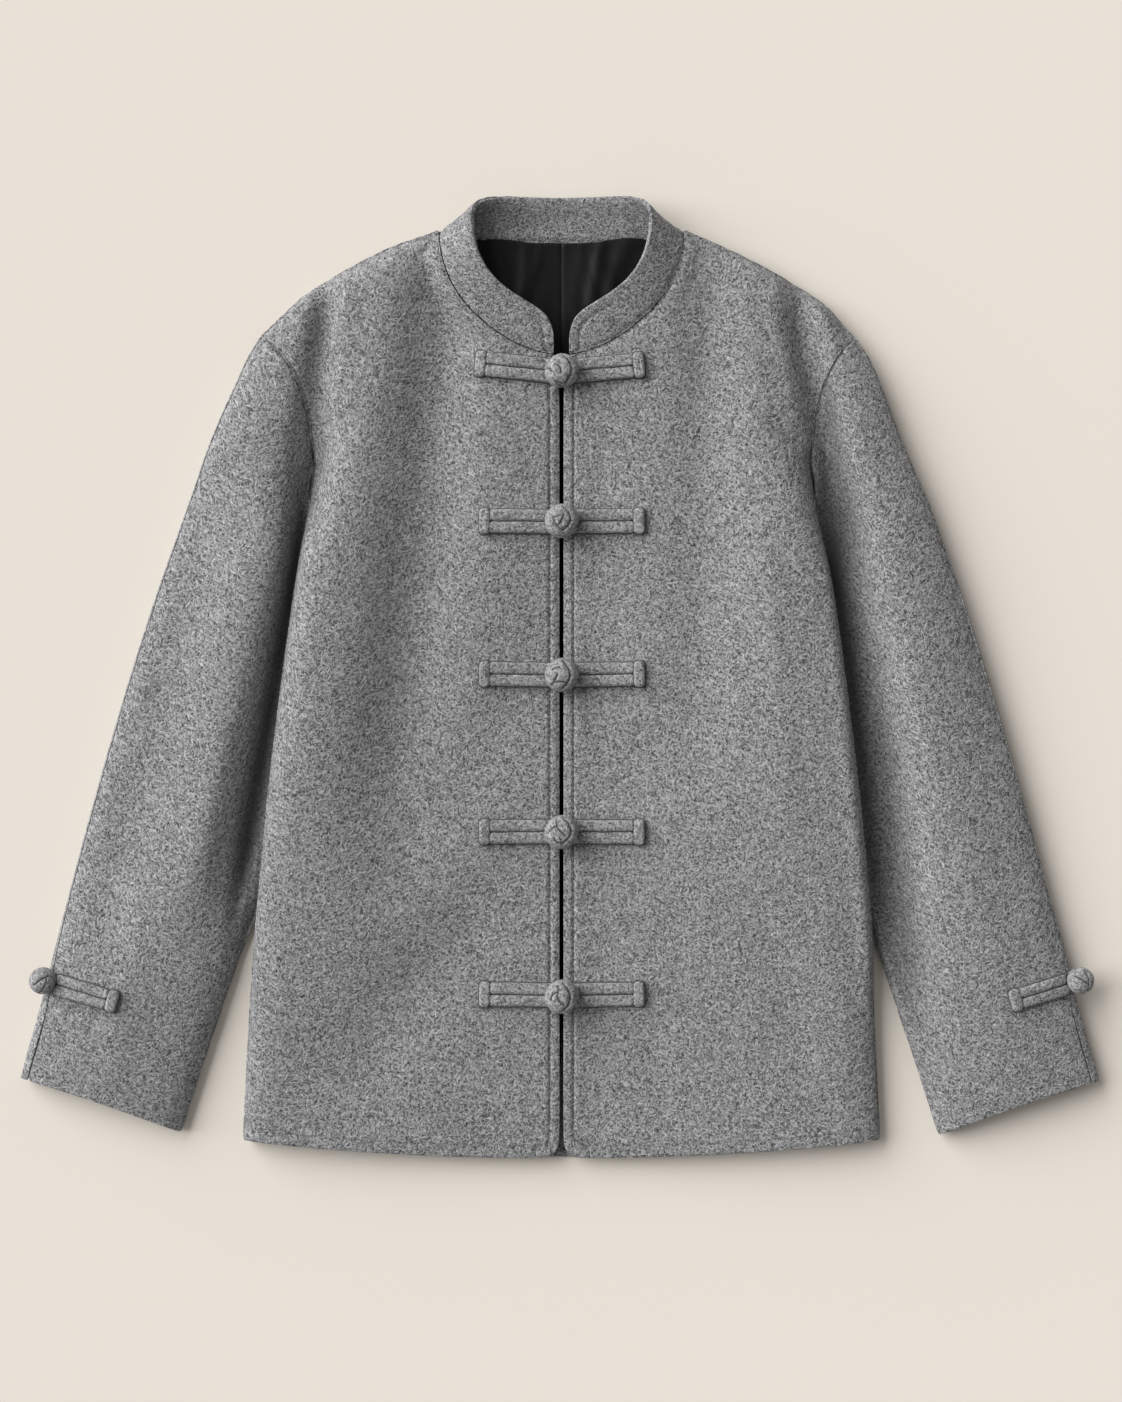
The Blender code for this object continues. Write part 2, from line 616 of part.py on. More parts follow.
def sleeve_points(side, front_rim, back_rim):
    """Outer points and normals of a top sleeve and of the under sleeve that wraps round its outer fold."""
    fine = np.linspace(0, 1, EDGE_SAMPLES)
    armhole = along_table(ARMHOLE, fine)
    tangent = np.gradient(armhole[:, :2], axis=0)
    outward = np.stack([tangent[:, 1], -tangent[:, 0]], axis=1) / np.linalg.norm(tangent, axis=1)[:, None]
    seam = armhole[:, :2] + SEAM_GAP * outward
    outer_edge = along_table(SLEEVE_OUTER, SLEEVE_ROWS)
    inner_edge = along_table(SLEEVE_INNER, SLEEVE_ROWS)
    outer_edge[0] = seam[0]
    inner_edge[0, :2] = seam[-1]
    chord = inner_edge[-1, :2] - outer_edge[-1]
    bow = np.array([-chord[1], chord[0]]) / np.linalg.norm(chord) * CUFF_BOW
    cuff = outer_edge[-1] + fine[:, None] * chord + (4 * fine * (1 - fine))[:, None] * bow
    plan = fill_patch(seam, cuff, outer_edge, inner_edge[:, :2])

    stations = np.array(ARMHOLE_STATIONS)
    upper, under, upper_up, under_up, shares = [], [], [], [], []
    for row, along in zip(range(len(plan)), SLEEVE_ROWS):
        section = read_table(SLEEVE, "along", along)
        width = np.linalg.norm(np.diff(plan[row], axis=0), axis=1).sum()
        inner_up = inner_edge[row, 2]
        body_half = read_table(BODY, "down", inner_edge[row, 1]).half_width
        tuck = max(float(body_half - inner_edge[row, 0]), 0)
        first = section.seam_in + section.slit / 2
        top_t = first + stations * (width - first)
        seam_t = section.seam_in - section.slit / 2
        wrap_t = seam_t * np.array(WRAP_COLUMNS)
        bottom_t = stations * width
        upper.append(resample(plan[row], top_t / width))
        upper_up.append(sleeve_top_height(top_t, width, section, inner_up, tuck))
        under.append(resample(plan[row], np.concatenate([wrap_t, bottom_t]) / width))
        wrap_up = sleeve_top_height(wrap_t, width, section, inner_up, tuck)
        under_up.append(np.concatenate([wrap_up, sleeve_bottom_height(bottom_t, width, section, inner_up)]))
        shares.append((top_t / width, wrap_t / width))

    def at_seam(front_edge, back_edge):
        top, wrap = (resample_at(stations, front_edge, places) for places in shares[0])
        return top, np.concatenate([wrap, back_edge])

    top_up, around_up = at_seam(front_rim.points[:, 2:], back_rim.points[:, 2:])
    top_normals, around_normals = at_seam(front_rim.normals, back_rim.normals)
    upper = blend_to_armhole(np.array(upper), np.array(upper_up), top_up[:, 0], side)
    under = blend_to_armhole(np.array(under), np.array(under_up), around_up[:, 0], side)
    upper_normals = outward_normals(upper, UNDER_ALL)
    under_normals = outward_normals(under, ABOVE_ALL)
    level(upper_normals, np.s_[:, -1])
    level(under_normals, np.s_[:, -1])
    match_rims(upper, under, upper_normals, under_normals)
    upper_normals[0] = top_normals / np.linalg.norm(top_normals, axis=1)[:, None]
    under_normals[0] = around_normals / np.linalg.norm(around_normals, axis=1)[:, None]
    return upper, upper_normals, under, under_normals


def match_rims(upper, under, upper_normals, under_normals):
    """Give both rims of a sleeve's outer seam the same direction."""
    over_seam = upper[:, 1] - under[:, 1]
    along_seam = np.gradient(upper[:, 0], axis=0)
    normals = np.cross(along_seam, over_seam)
    normals /= np.linalg.norm(normals, axis=1)[:, None]
    normals *= np.sign((normals * upper_normals[:, 0]).sum(axis=1))[:, None]
    upper_normals[:, 0] = normals
    under_normals[:, 0] = normals


def blend_to_armhole(plan, heights, seam_up, side):
    """Bring a sleeve panel's first row to the armhole seam's height, fading out down the sleeve."""
    _, from_top = edge_distances(plan)
    heights = heights + (seam_up - heights[0]) * (1 - ease(from_top / ARMHOLE_BLEND))
    return place(plan, np.maximum(heights, 0), side)


def lining_points(name, side, back):
    """Upper points of one half of the back lining, lying on the back inside the jacket."""
    neck = np.array([(row.seam_across, row.seam_down) for row in reversed(COLLAR_BACK)])
    across = SEAM_GAP / 2 + (LINING_NECK_HALF - SEAM_GAP / 2) * np.array(LINING_COLUMNS)
    top = np.stack([across, smooth_curve(neck[:, 0], neck[:, 1:], across)[:, 0] + LINING_EDGE_DROP], axis=1)
    hem_across = SEAM_GAP / 2 + (LINING_HALF - SEAM_GAP / 2) * np.array(LINING_COLUMNS)
    hem = np.stack([hem_across, np.full_like(hem_across, LINING_HEM_DOWN)], axis=1)
    inner_down = top[0, 1] + (LINING_HEM_DOWN - top[0, 1]) * np.array(LINING_ROWS)
    inner = np.stack([np.full_like(inner_down, across[0]), inner_down], axis=1)
    outer_down = top[-1, 1] + (LINING_HEM_DOWN - top[-1, 1]) * np.array(LINING_ROWS)
    slant = ease((outer_down - top[-1, 1]) / (LINING_SHOULDER_DOWN - top[-1, 1]))
    outer = np.stack([LINING_NECK_HALF + (LINING_HALF - LINING_NECK_HALF) * slant, outer_down], axis=1)
    plan = fill_patch(top, hem, inner, outer)

    ridges = [
        ((pleat.across, top[0, 1]), (pleat.end_across, pleat.end_down), pleat.half_width, pleat.height)
        for pleat in LINING_PLEATS
        if pleat.side == name
    ]
    seat = place(plan, np.zeros(plan.shape[:2]), side)
    on_back = np.array([[height_on([back], [(x, y)]) for x, y, _ in row] for row in seat])
    pleats = ridge_height(ridges, plan[..., 0], plan[..., 1]) * ease(from_neck_seam(plan))
    return place(plan, on_back + WOOL_WALL + SEAM_GAP + LINING_WALL + pleats, side)


def from_neck_seam(plan):
    """How far each lining point lies below the neck seam, in pleat lengths that start flat at the seam."""
    return np.linalg.norm(plan - plan[:1], axis=2) / LINING_FLAT_START


def make_strip(name, surfaces, origin, heading, span, width, rings):
    """A frog's strip on the cloth, between two distances from its ball. Returns its height at the ball."""
    forward = np.array((cos(heading), sin(heading)))
    sideways = np.array((-forward[1], forward[0]))
    shape = bmesh.new()
    previous = None
    top_up = 0
    for distance in np.linspace(*span, rings):
        middle = origin + distance * forward
        spots = [middle + offset * width * sideways for offset in SEAT_SPOTS]
        base = height_on(surfaces, spots) + SEAT_GAP
        top_up = top_up or base + STRIP_HEIGHT
        ring = []
        for offset, rise in STRIP_SECTION:
            spot = middle + offset * width * sideways
            ring.append(shape.verts.new((*spot, base + rise * STRIP_HEIGHT)))
        if previous:
            for corner in range(len(ring)):
                following = (corner + 1) % len(ring)
                shape.faces.new((previous[corner], previous[following], ring[following], ring[corner]))
        else:
            shape.faces.new(ring)
        previous = ring
    shape.faces.new(reversed(previous))
    bmesh.ops.recalc_face_normals(shape, faces=shape.faces)
    add_object(name, shape, trim())
    return top_up


def make_end(name, surfaces, origin, heading, distance, length, width):
    """The wrapped end of a frog's strip: a rounded block on the cloth."""
    forward = np.array((cos(heading), sin(heading)))
    sideways = np.array((-forward[1], forward[0]))
    middle = origin + (distance + length / 2) * forward
    spots = [
        middle + along * length * forward + offset * width * sideways
        for along in SEAT_SPOTS
        for offset in SEAT_SPOTS
    ]
    base = height_on(surfaces, spots) + SEAT_GAP
    shape = bmesh.new()
    bmesh.ops.create_cube(shape, size=1)
    bmesh.ops.scale(shape, vec=(length, width, END_HEIGHT), verts=shape.verts)
    bmesh.ops.bevel(shape, geom=shape.edges[:], offset=END_ROUNDING, segments=2, profile=0.5, affect="EDGES")
    turn = Matrix.Rotation(heading, 4, "Z")
    bmesh.ops.transform(shape, matrix=turn, verts=shape.verts)
    bmesh.ops.translate(shape, vec=(*middle, base + END_HEIGHT / 2), verts=shape.verts)
    add_object(name, shape, trim())


def make_knot(name, centre, radius, facing=1):
    """A ball knot with grooves between its strands, cut flat at its seat. Facing -1 mirrors the strands."""
    shape = bmesh.new()
    bmesh.ops.create_uvsphere(shape, u_segments=KNOT_SEGMENTS, v_segments=KNOT_RINGS, radius=radius)
    for corner in shape.verts:
        way = corner.co.normalized()
        faced = Vector((facing * way.x, way.y, way.z))
        for groove in KNOT_GROOVES:
            off = (faced.dot(Vector(groove.axis).normalized()) - groove.place) / groove.width
            corner.co -= way * radius * KNOT_GROOVE_DEPTH * np.exp(-off * off)
    geometry = shape.verts[:] + shape.edges[:] + shape.faces[:]
    seat = (0, 0, -KNOT_SEAT)
    bmesh.ops.bisect_plane(shape, geom=geometry, plane_co=seat, plane_no=(0, 0, 1), clear_inner=True)
    bmesh.ops.holes_fill(shape, edges=[edge for edge in shape.edges if edge.is_boundary])
    bmesh.ops.recalc_face_normals(shape, faces=shape.faces)
    bmesh.ops.translate(shape, vec=centre, verts=shape.verts)
    add_object(name, shape, trim())


def make_front_frog(number, frog, fronts):
    """A fastened frog over the centre front: a strip and end on each front, and the ball on both strips."""
    origin = np.array((0, NECK_POINT_Y - frog.down))
    seats = []
    for name, turn in (("left", 180 - frog.tilt), ("right", frog.tilt)):
        heading = radians(turn)
        span = (STRIP_START, STRIP_END)
        surface = [fronts[name]]
        strip = make_strip(f"frog_{number}_{name}", surface, origin, heading, span, STRIP_WIDTH, STRIP_RINGS)
        seats.append(strip)
        reach = STRIP_END + SEAM_GAP
        make_end(f"frog_{number}_{name}_end", surface, origin, heading, reach, END_LENGTH, END_WIDTH)
    centre_up = max(seats) + SEAT_GAP + KNOT_SEAT
    make_knot(f"frog_{number}_knot", (*origin, centre_up), KNOT_RADIUS)


def make_cuff_frog(name, side, surfaces):
    """A cuff frog: its ball just over the sleeve's outer fold, its strip and end on the top sleeve."""
    origin = np.array((side * CUFF_KNOT_ACROSS, NECK_POINT_Y - CUFF_KNOT_DOWN))
    heading = radians(-CUFF_TILT if side < 0 else 180 + CUFF_TILT)
    span = (CUFF_STRIP_START + SEAT_GAP, CUFF_STRIP_END)
    make_strip(f"cuff_{name}_strip", surfaces, origin, heading, span, CUFF_STRIP_WIDTH, CUFF_STRIP_RINGS)
    reach = CUFF_STRIP_END + SEAM_GAP
    make_end(f"cuff_{name}_end", surfaces, origin, heading, reach, CUFF_END_LENGTH, CUFF_END_WIDTH)
    make_knot(f"cuff_{name}_knot", (*origin, CUFF_KNOT_UP), CUFF_KNOT_RADIUS, facing=-side)


for leftover in list(bpy.data.objects):
    bpy.data.objects.remove(leftover, do_unlink=True)

SIDES = (("left", -1), ("right", 1))
UNDERARM_ROW = len(ARMHOLE_STATIONS) - 1
SHOULDER_COLUMNS = len(BACK_COLUMNS) + 1

back = back_points()
back_normals = outward_normals(back, ABOVE_ALL)
level(back_normals, np.s_[UNDERARM_ROW:, 0], np.s_[UNDERARM_ROW:, -1])
level(back_normals, np.s_[0, :SHOULDER_COLUMNS], np.s_[0, -SHOULDER_COLUMNS:])
back_rims = {
    "left": armhole_rim(back[:, 0], back_normals[:, 0], -1),
    "right": armhole_rim(back[:, -1], back_normals[:, -1], 1),
}
make_cloth("back", back, back_normals, WOOL_WALL, wool())

fronts = {}
front_rims = {}
for name, side in SIDES:
    front = front_points(name, side)
    normals = outward_normals(front, UNDER_ALL)
    level(normals, np.s_[UNDERARM_ROW:, -1], np.s_[0, :])
    front_rims[name] = armhole_rim(front[:, -1], normals[:, -1], side)
    make_cloth(f"front_{name}", front, normals, WOOL_WALL, wool())
    lining = lining_points(name, side, surface_of(back))
    make_cloth(f"lining_{name}", lining, outward_normals(lining, UNDER_ALL), LINING_WALL, satin())
    fronts[name] = front
collar = collar_points(fronts["left"], fronts["right"])
make_cloth("collar", collar, outward_normals(collar, NECK_MIDDLE), COLLAR_WALL, wool())

front_surfaces = {name: surface_of(points) for name, points in fronts.items()}
for number, frog in enumerate(FROGS, start=1):
    make_front_frog(number, frog, front_surfaces)

for name, side in SIDES:
    upper, upper_normals, under, under_normals = sleeve_points(side, front_rims[name], back_rims[name])
    make_cloth(f"sleeve_{name}_top", upper, upper_normals, WOOL_WALL, wool())
    make_cloth(f"sleeve_{name}_under", under, under_normals, WOOL_WALL, wool())
    make_cuff_frog(name, side, [surface_of(upper), surface_of(under)])
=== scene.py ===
"""Looks of the grey wool mandarin collar jacket, laid flat on its back, seen from straight above."""
from collections import namedtuple
from math import radians

import bmesh
import bpy
import numpy as np
from mathutils import Matrix, Vector, noise
from mathutils.bvhtree import BVHTree
from mathutils.kdtree import KDTree


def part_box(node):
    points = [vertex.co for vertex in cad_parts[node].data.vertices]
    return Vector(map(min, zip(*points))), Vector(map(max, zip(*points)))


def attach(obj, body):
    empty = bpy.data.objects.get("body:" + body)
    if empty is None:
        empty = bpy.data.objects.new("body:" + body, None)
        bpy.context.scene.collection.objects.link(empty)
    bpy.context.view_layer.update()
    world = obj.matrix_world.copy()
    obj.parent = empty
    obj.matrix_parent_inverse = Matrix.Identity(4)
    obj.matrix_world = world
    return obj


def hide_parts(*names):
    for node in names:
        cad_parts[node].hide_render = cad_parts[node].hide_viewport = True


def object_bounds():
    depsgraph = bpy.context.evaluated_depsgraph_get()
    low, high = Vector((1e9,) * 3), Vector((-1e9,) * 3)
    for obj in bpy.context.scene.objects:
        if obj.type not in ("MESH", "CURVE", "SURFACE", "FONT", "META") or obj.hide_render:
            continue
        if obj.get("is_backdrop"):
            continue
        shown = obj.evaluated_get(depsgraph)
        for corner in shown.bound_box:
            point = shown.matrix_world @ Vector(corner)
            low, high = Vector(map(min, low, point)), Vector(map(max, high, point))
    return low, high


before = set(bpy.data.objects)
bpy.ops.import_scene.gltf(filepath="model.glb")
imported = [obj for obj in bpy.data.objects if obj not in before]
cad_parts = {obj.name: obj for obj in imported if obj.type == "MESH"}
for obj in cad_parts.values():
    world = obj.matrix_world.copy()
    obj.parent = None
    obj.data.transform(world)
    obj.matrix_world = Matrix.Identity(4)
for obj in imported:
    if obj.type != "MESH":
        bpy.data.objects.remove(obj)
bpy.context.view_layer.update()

MM = 0.001
WOOL_WALL = 2.5 * MM
MERGE = 0.002 * MM
CORNER_ANGLE = radians(40)
EDGE_SOFTENING = 4
FAR = 1.0


class Shade:
    """A socket of a material's node tree. Sums on it add Math nodes, and node() adds any other node."""

    def __init__(self, tree, socket=None):
        self.tree = tree
        self.socket = socket

    def node(self, kind, settings, sockets, output=0):
        """Adds a node, with its settings first and then the values or links of its sockets."""
        made = self.tree.nodes.new("ShaderNode" + kind)
        for name, value in settings.items():
            setattr(made, name, value)
        for name, value in sockets.items():
            if isinstance(value, Shade):
                self.tree.links.new(value.socket, made.inputs[name])
            else:
                made.inputs[name].default_value = value
        return Shade(self.tree, made.outputs[output])

    def math(self, operation, *terms, clamped=False):
        """Adds a Math node on these terms."""
        settings = {"operation": operation, "use_clamp": clamped}
        return self.node("Math", settings, dict(enumerate(terms)))

    def clamped(self):
        """This value, kept between 0 and 1."""
        return self.math("ADD", self, 0.0, clamped=True)

    def band(self, middle, half_width):
        """1 where this value is at the middle, fading to 0 at half_width from it."""
        off = (self - middle) * (1 / half_width)
        return self.math("SUBTRACT", 1.0, off * off, clamped=True)

    def __add__(self, other):
        return self.math("ADD", self, other)

    def __sub__(self, other):
        return self.math("SUBTRACT", self, other)

    def __rsub__(self, other):
        return self.math("SUBTRACT", other, self)

    def __mul__(self, other):
        return self.math("MULTIPLY", self, other)

    __radd__ = __add__
    __rmul__ = __mul__


# Places of the Mix node's colour sockets, whose names its other sockets share
MIX_SHARE = 0
MIX_FIRST = 6
MIX_SECOND = 7
MIX_RESULT = 2


def mix_colour(share, first, second):
    """A colour between two others."""
    sockets = {MIX_SHARE: share, MIX_FIRST: first, MIX_SECOND: second}
    return share.node("Mix", {"data_type": "RGBA"}, sockets, MIX_RESULT)


FIBRE_SIZE = (4.6 * MM, 1.12 * MM, 1.12 * MM)
FIBRE_TILT = (0.2, 0.3)
FIBRE_ANGLES = (14, 61, 103, 152)
FIBRE_CURL = 0.8
FIBRE_MEAN = 0.62
GRAIN_SCALE = 820
CLUSTER_SCALE = 75
WOOL_TONE = 0.35
FLECK_CONTRAST = 2.45
GRAIN_CONTRAST = 0.5
CLUSTER_CONTRAST = 0.1
FLECK_RELIEF = 0.9
GRAIN_RELIEF = 0.2
SEWN_LINE = 1.1 * MM
# Painted shade in the sewn grooves: how much the colour darkens along the topstitching, the hem stitching
# and the armhole seam
STITCH_PAINTED_SHADE = 0.35
HEM_PAINTED_SHADE = 0.25
ARMHOLE_PAINTED_SHADE = 0.85


def wool(name, dark, light, contrast, stitch_inset=None):
    """Felted wool: short pale fibres that lie every way over a darker ground, with a soft nap.
    A panel with a stitch inset is darker, as painted shade, along the sewn line that far inside its
    finished edges, and along its armhole seam. A share stored on the mesh also darkens the colour, as
    painted shade."""
    material = bpy.data.materials.new(name)
    material.use_nodes = True
    shader = material.node_tree.nodes["Principled BSDF"]
    shade = Shade(material.node_tree)
    place = shade.node("TexCoord", {}, {}, "Object")

    def speckle(scale):
        spots = {"Vector": place, "Scale": scale, "Detail": 1.0, "Roughness": 0.5}
        return shade.node("TexNoise", {}, spots)

    def fibres(angle):
        lay = {"Vector": place, "Rotation": (*FIBRE_TILT, radians(angle)), "Scale": FIBRE_SIZE}
        along = shade.node("Mapping", {"vector_type": "TEXTURE"}, lay)
        strands = {"Vector": along, "Scale": 1.0, "Detail": 0.0, "Distortion": FIBRE_CURL}
        return shade.node("TexNoise", {}, strands)

    top_fibre = fibres(FIBRE_ANGLES[0])
    for angle in FIBRE_ANGLES[1:]:
        top_fibre = shade.math("MAXIMUM", top_fibre, fibres(angle))
    fleck = top_fibre - FIBRE_MEAN
    grain = speckle(GRAIN_SCALE) - 0.5
    cluster = speckle(CLUSTER_SCALE) - 0.5
    tone = WOOL_TONE + fleck * (FLECK_CONTRAST * contrast) + grain * (GRAIN_CONTRAST * contrast)
    tone = tone + cluster * CLUSTER_CONTRAST
    # Painted shade: a share stored on the mesh darkens the colour in cracks, in creases and round the
    # frogs' edges
    painted_shade = shade.node("Attribute", {"attribute_name": "painted_shade"}, {}, "Fac")
    tone = tone * (1 - painted_shade)
    # Painted shade: the colour darkens along each sewn groove
    if stitch_inset is not None:
        lines = (
            ("stitch_distance", stitch_inset, STITCH_PAINTED_SHADE),
            ("hem_distance", stitch_inset, HEM_PAINTED_SHADE),
            ("armhole_distance", 0, ARMHOLE_PAINTED_SHADE),
        )
        for edge, inset, weight in lines:
            distance = shade.node("Attribute", {"attribute_name": edge}, {}, "Fac")
            tone = tone * (1 - distance.band(inset, SEWN_LINE) * weight)
    height = fleck * FLECK_RELIEF + grain * GRAIN_RELIEF
    bump = shade.node("Bump", {}, {"Height": height, "Distance": MM, "Strength": 0.9})
    links = material.node_tree.links
    links.new(mix_colour(tone.clamped(), dark, light).socket, shader.inputs["Base Color"])
    links.new(bump.socket, shader.inputs["Normal"])
    shader.inputs["Roughness"].default_value = 0.95
    shader.inputs["Specular IOR Level"].default_value = 0.15
    shader.inputs["Sheen Weight"].default_value = 0.12
    shader.inputs["Sheen Roughness"].default_value = 0.5
    return material


def link(name, mesh, material):
    """A new object at the origin from a bmesh, shaded smooth, with its material."""
    item = bpy.data.objects.new(name, bpy.data.meshes.new(name))
    mesh.to_mesh(item.data)
    mesh.free()
    item.data.shade_smooth()
    item.data.materials.append(material)
    bpy.context.scene.collection.objects.link(item)
    return item


def smoothed(item, levels):
    """Replaces an object's mesh by its subdivision surface."""
    surface = item.modifiers.new("surface", "SUBSURF")
    surface.levels = levels
    surface.render_levels = levels
    graph = bpy.context.evaluated_depsgraph_get()
    fine = bpy.data.meshes.new_from_object(item.evaluated_get(graph))
    item.modifiers.remove(surface)
    item.data = fine


def cloth_shell(node, wall, levels, material):
    """A panel's shell on its solid's own form, smooth between its cut edges, which come out softly rounded.
    Faces of the cut edge have the attribute rim. They are found by edges that are as long as the wall is
    thick."""
    mesh = bmesh.new()
    mesh.from_mesh(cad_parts[node].data)
    bmesh.ops.remove_doubles(mesh, verts=mesh.verts, dist=MERGE)
    crease = mesh.edges.layers.float.new("crease_edge")
    marked = mesh.faces.layers.int.new("rim")
    struts = [edge for edge in mesh.edges if abs(edge.calc_length() - wall) < MERGE]
    for edge in struts:
        for face in edge.link_faces:
            face[marked] = 1
    for edge in mesh.edges:
        first, second = edge.link_faces
        if first[marked] != second[marked]:
            edge[crease] = 1.0
        elif first[marked] and edge.calc_face_angle() > CORNER_ANGLE:
            edge[crease] = 1.0
    for face in mesh.faces:
        face.material_index = 0
    shell = link(node + "_cloth", mesh, material)
    smoothed(shell, levels)
    mesh = bmesh.new()
    mesh.from_mesh(shell.data)
    marked = mesh.faces.layers.int["rim"]
    edge_points = list({point for face in mesh.faces if face[marked] for point in face.verts})
    for _ in range(EDGE_SOFTENING):
        bmesh.ops.smooth_vert(
            mesh, verts=edge_points, factor=0.5, use_axis_x=True, use_axis_y=True, use_axis_z=True,
        )
    mesh.to_mesh(shell.data)
    mesh.free()
    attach(shell, "root")
    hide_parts(node)
    return shell


def points_of(shell):
    """A mesh's points and their normals, as rows of arrays."""
    count = len(shell.data.vertices)
    points = np.empty(count * 3)
    normals = np.empty(count * 3)
    shell.data.vertices.foreach_get("co", points)
    shell.data.vertices.foreach_get("normal", normals)
    return points.reshape(-1, 3), normals.reshape(-1, 3)


def rim_distances(shell, edge_kind):
    """How far each point lies from the nearest cut edge of each kind: stitched, hem or seam."""
    points, _ = points_of(shell)
    rim = shell.data.attributes["rim"].data
    on_rim = {corner for face in shell.data.polygons if rim[face.index].value for corner in face.vertices}
    kinds = {index: edge_kind(*points[index, :2] / MM) for index in on_rim}
    found = {}
    for kind in ("stitched", "hem", "seam"):
        chosen = [index for index in on_rim if kinds[index] == kind]
        tree = KDTree(len(chosen))
        for index in chosen:
            tree.insert(points[index], index)
        tree.balance()
        if chosen:
            found[kind] = np.array([tree.find(point)[2] for point in points])
        else:
            found[kind] = np.full(len(points), FAR)
    return found


def keep_on_mesh(item, values, name):
    """Stores a value for each point on the mesh, where its material reads it."""
    attribute = item.data.attributes.new(name, "FLOAT", "POINT")
    attribute.data.foreach_set("value", values.astype(np.float32))


def ease(share):
    """A smooth rise from 0 to 1 as share goes from 0 to 1."""
    share = np.clip(share, 0, 1)
    return share * share * (3 - 2 * share)


Crease = namedtuple("Crease", "x y end_x end_y half_width lift")
CREASE_END = 0.25
CREASE_SWAY = 0.15
SWAY_WAVE = 5.1
CREASE_MEAN = 0.92
CREASE_SWELL = 0.16
SWELL_WAVE = 3.3
SWELL_LAG = 1.7
PHASE_RUN = 50


def crease_lift(points, creases):
    """Height that soft folds add at each point: long rounded ridges and troughs that sway a little, swell
    and thin, and fade at their ends."""
    lift = np.zeros(len(points))
    for crease in creases:
        start = np.array((crease.x, crease.y)) * MM
        run = np.array((crease.end_x, crease.end_y)) * MM - start
        length = np.linalg.norm(run)
        away = points[:, :2] - start
        along = away @ run / length**2
        off = (away[:, 0] * run[1] - away[:, 1] * run[0]) / length
        phase = (crease.x + crease.y) / PHASE_RUN
        off = off + CREASE_SWAY * crease.half_width * MM * np.sin(along * SWAY_WAVE + phase)
        swell = CREASE_MEAN + CREASE_SWELL * np.sin(along * SWELL_WAVE + phase * SWELL_LAG)
        width = crease.half_width * MM * swell
        fade = ease(along / CREASE_END) * ease((1 - along) / CREASE_END)
        lift += crease.lift * MM * fade * np.exp(-((off / width) ** 2))
    return lift


SEAM_DIP = 0.9 * MM
SEAM_REACH = 2.6 * MM
STITCH_INSET = 7.4 * MM
STITCH_DIP = 1.0 * MM
HEM_DIP = 0.35 * MM
STITCH_REACH = 1.3 * MM
CREASE_CLEAR = 16 * MM
FACE_TURN = 0.4
ARMHOLE_INNER = 150
ARMHOLE_LOW = 105
ARMHOLE_HIGH = 254


def shape_panel(
    shell, edge_kind, creases, outward, seam_folds=(), lowest=0.0, painted_shade_lines=(), stitched_at=None,
):
    """Adds a panel's folds, pulls its outer face into seams and stitching, and keeps where these run.
    Creases fade out at the seams, and seam folds run on into the next panel. No fold goes below lowest.
    Lines of painted shade darken the cloth's colour along them."""
    points, normals = points_of(shell)
    distances = rim_distances(shell, edge_kind)
    if stitched_at is not None:
        distances["stitched"][~stitched_at(points)] = FAR
    outer = ease((normals @ np.array(outward)) / FACE_TURN)
    folds = crease_lift(points, creases) * ease(distances["seam"] / CREASE_CLEAR)
    folds += crease_lift(points, seam_folds)
    upper_face = outer if outward[2] > 0 else 1 - outer
    bottom = np.minimum(points[:, 2], lowest + WOOL_WALL * upper_face)
    dip = SEAM_DIP * np.exp(-((distances["seam"] / SEAM_REACH) ** 2))
    for kind, depth in (("stitched", STITCH_DIP), ("hem", HEM_DIP)):
        dip += depth * np.exp(-(((distances[kind] - STITCH_INSET) / STITCH_REACH) ** 2))
    points[:, 2] = np.maximum(points[:, 2] + folds, bottom)
    points -= normals * (dip * outer)[:, None]
    shell.data.vertices.foreach_set("co", points.ravel())
    across = np.abs(points[:, 0]) / MM
    along = points[:, 1] / MM
    at_armhole = (across > ARMHOLE_INNER) & (along > ARMHOLE_LOW) & (along < ARMHOLE_HIGH)
    faces_out = outer > 0.5
    # Painted shade: how much the colour darkens at each point, and how far each point lies from the sewn
    # grooves that are painted dark
    keep_on_mesh(shell, np.clip(crease_lift(points, painted_shade_lines) / MM, 0, 1), "painted_shade")
    keep_on_mesh(shell, np.where(faces_out, distances["stitched"], FAR), "stitch_distance")
    keep_on_mesh(shell, np.where(faces_out, distances["hem"], FAR), "hem_distance")
    keep_on_mesh(shell, np.where(faces_out & at_armhole, distances["seam"], FAR), "armhole_distance")


Shift = namedtuple("Shift", "start_x full_x low_y high_y move_x move_y")
SHIFT_EASE = 70 * MM
SHOULDER_SHIFTS = {
    "left": (Shift(-92, -135, 215, 460, 0, 3.2),),
    "right": (Shift(195, 225, 120, 320, -4.5, 0),),
}
SIDE_SHIFT = Shift(160, 205, -260, 140, 3.0, 0)
BODY_SHIFTS = (*SHOULDER_SHIFTS["left"], *SHOULDER_SHIFTS["right"], SIDE_SHIFT)


def settle(shell, shifts):
    """Moves parts of a panel a few millimetres over the floor, to where the garment settled unevenly."""
    points, _ = points_of(shell)
    moved = points.copy()
    for shift in shifts:
        share = ease((points[:, 0] - shift.start_x * MM) / ((shift.full_x - shift.start_x) * MM))
        share *= ease((shift.high_y * MM - points[:, 1]) / SHIFT_EASE)
        share *= ease((points[:, 1] - shift.low_y * MM) / SHIFT_EASE)
        moved[:, 0] += shift.move_x * MM * share
        moved[:, 1] += shift.move_y * MM * share
    shell.data.vertices.foreach_set("co", moved.ravel())


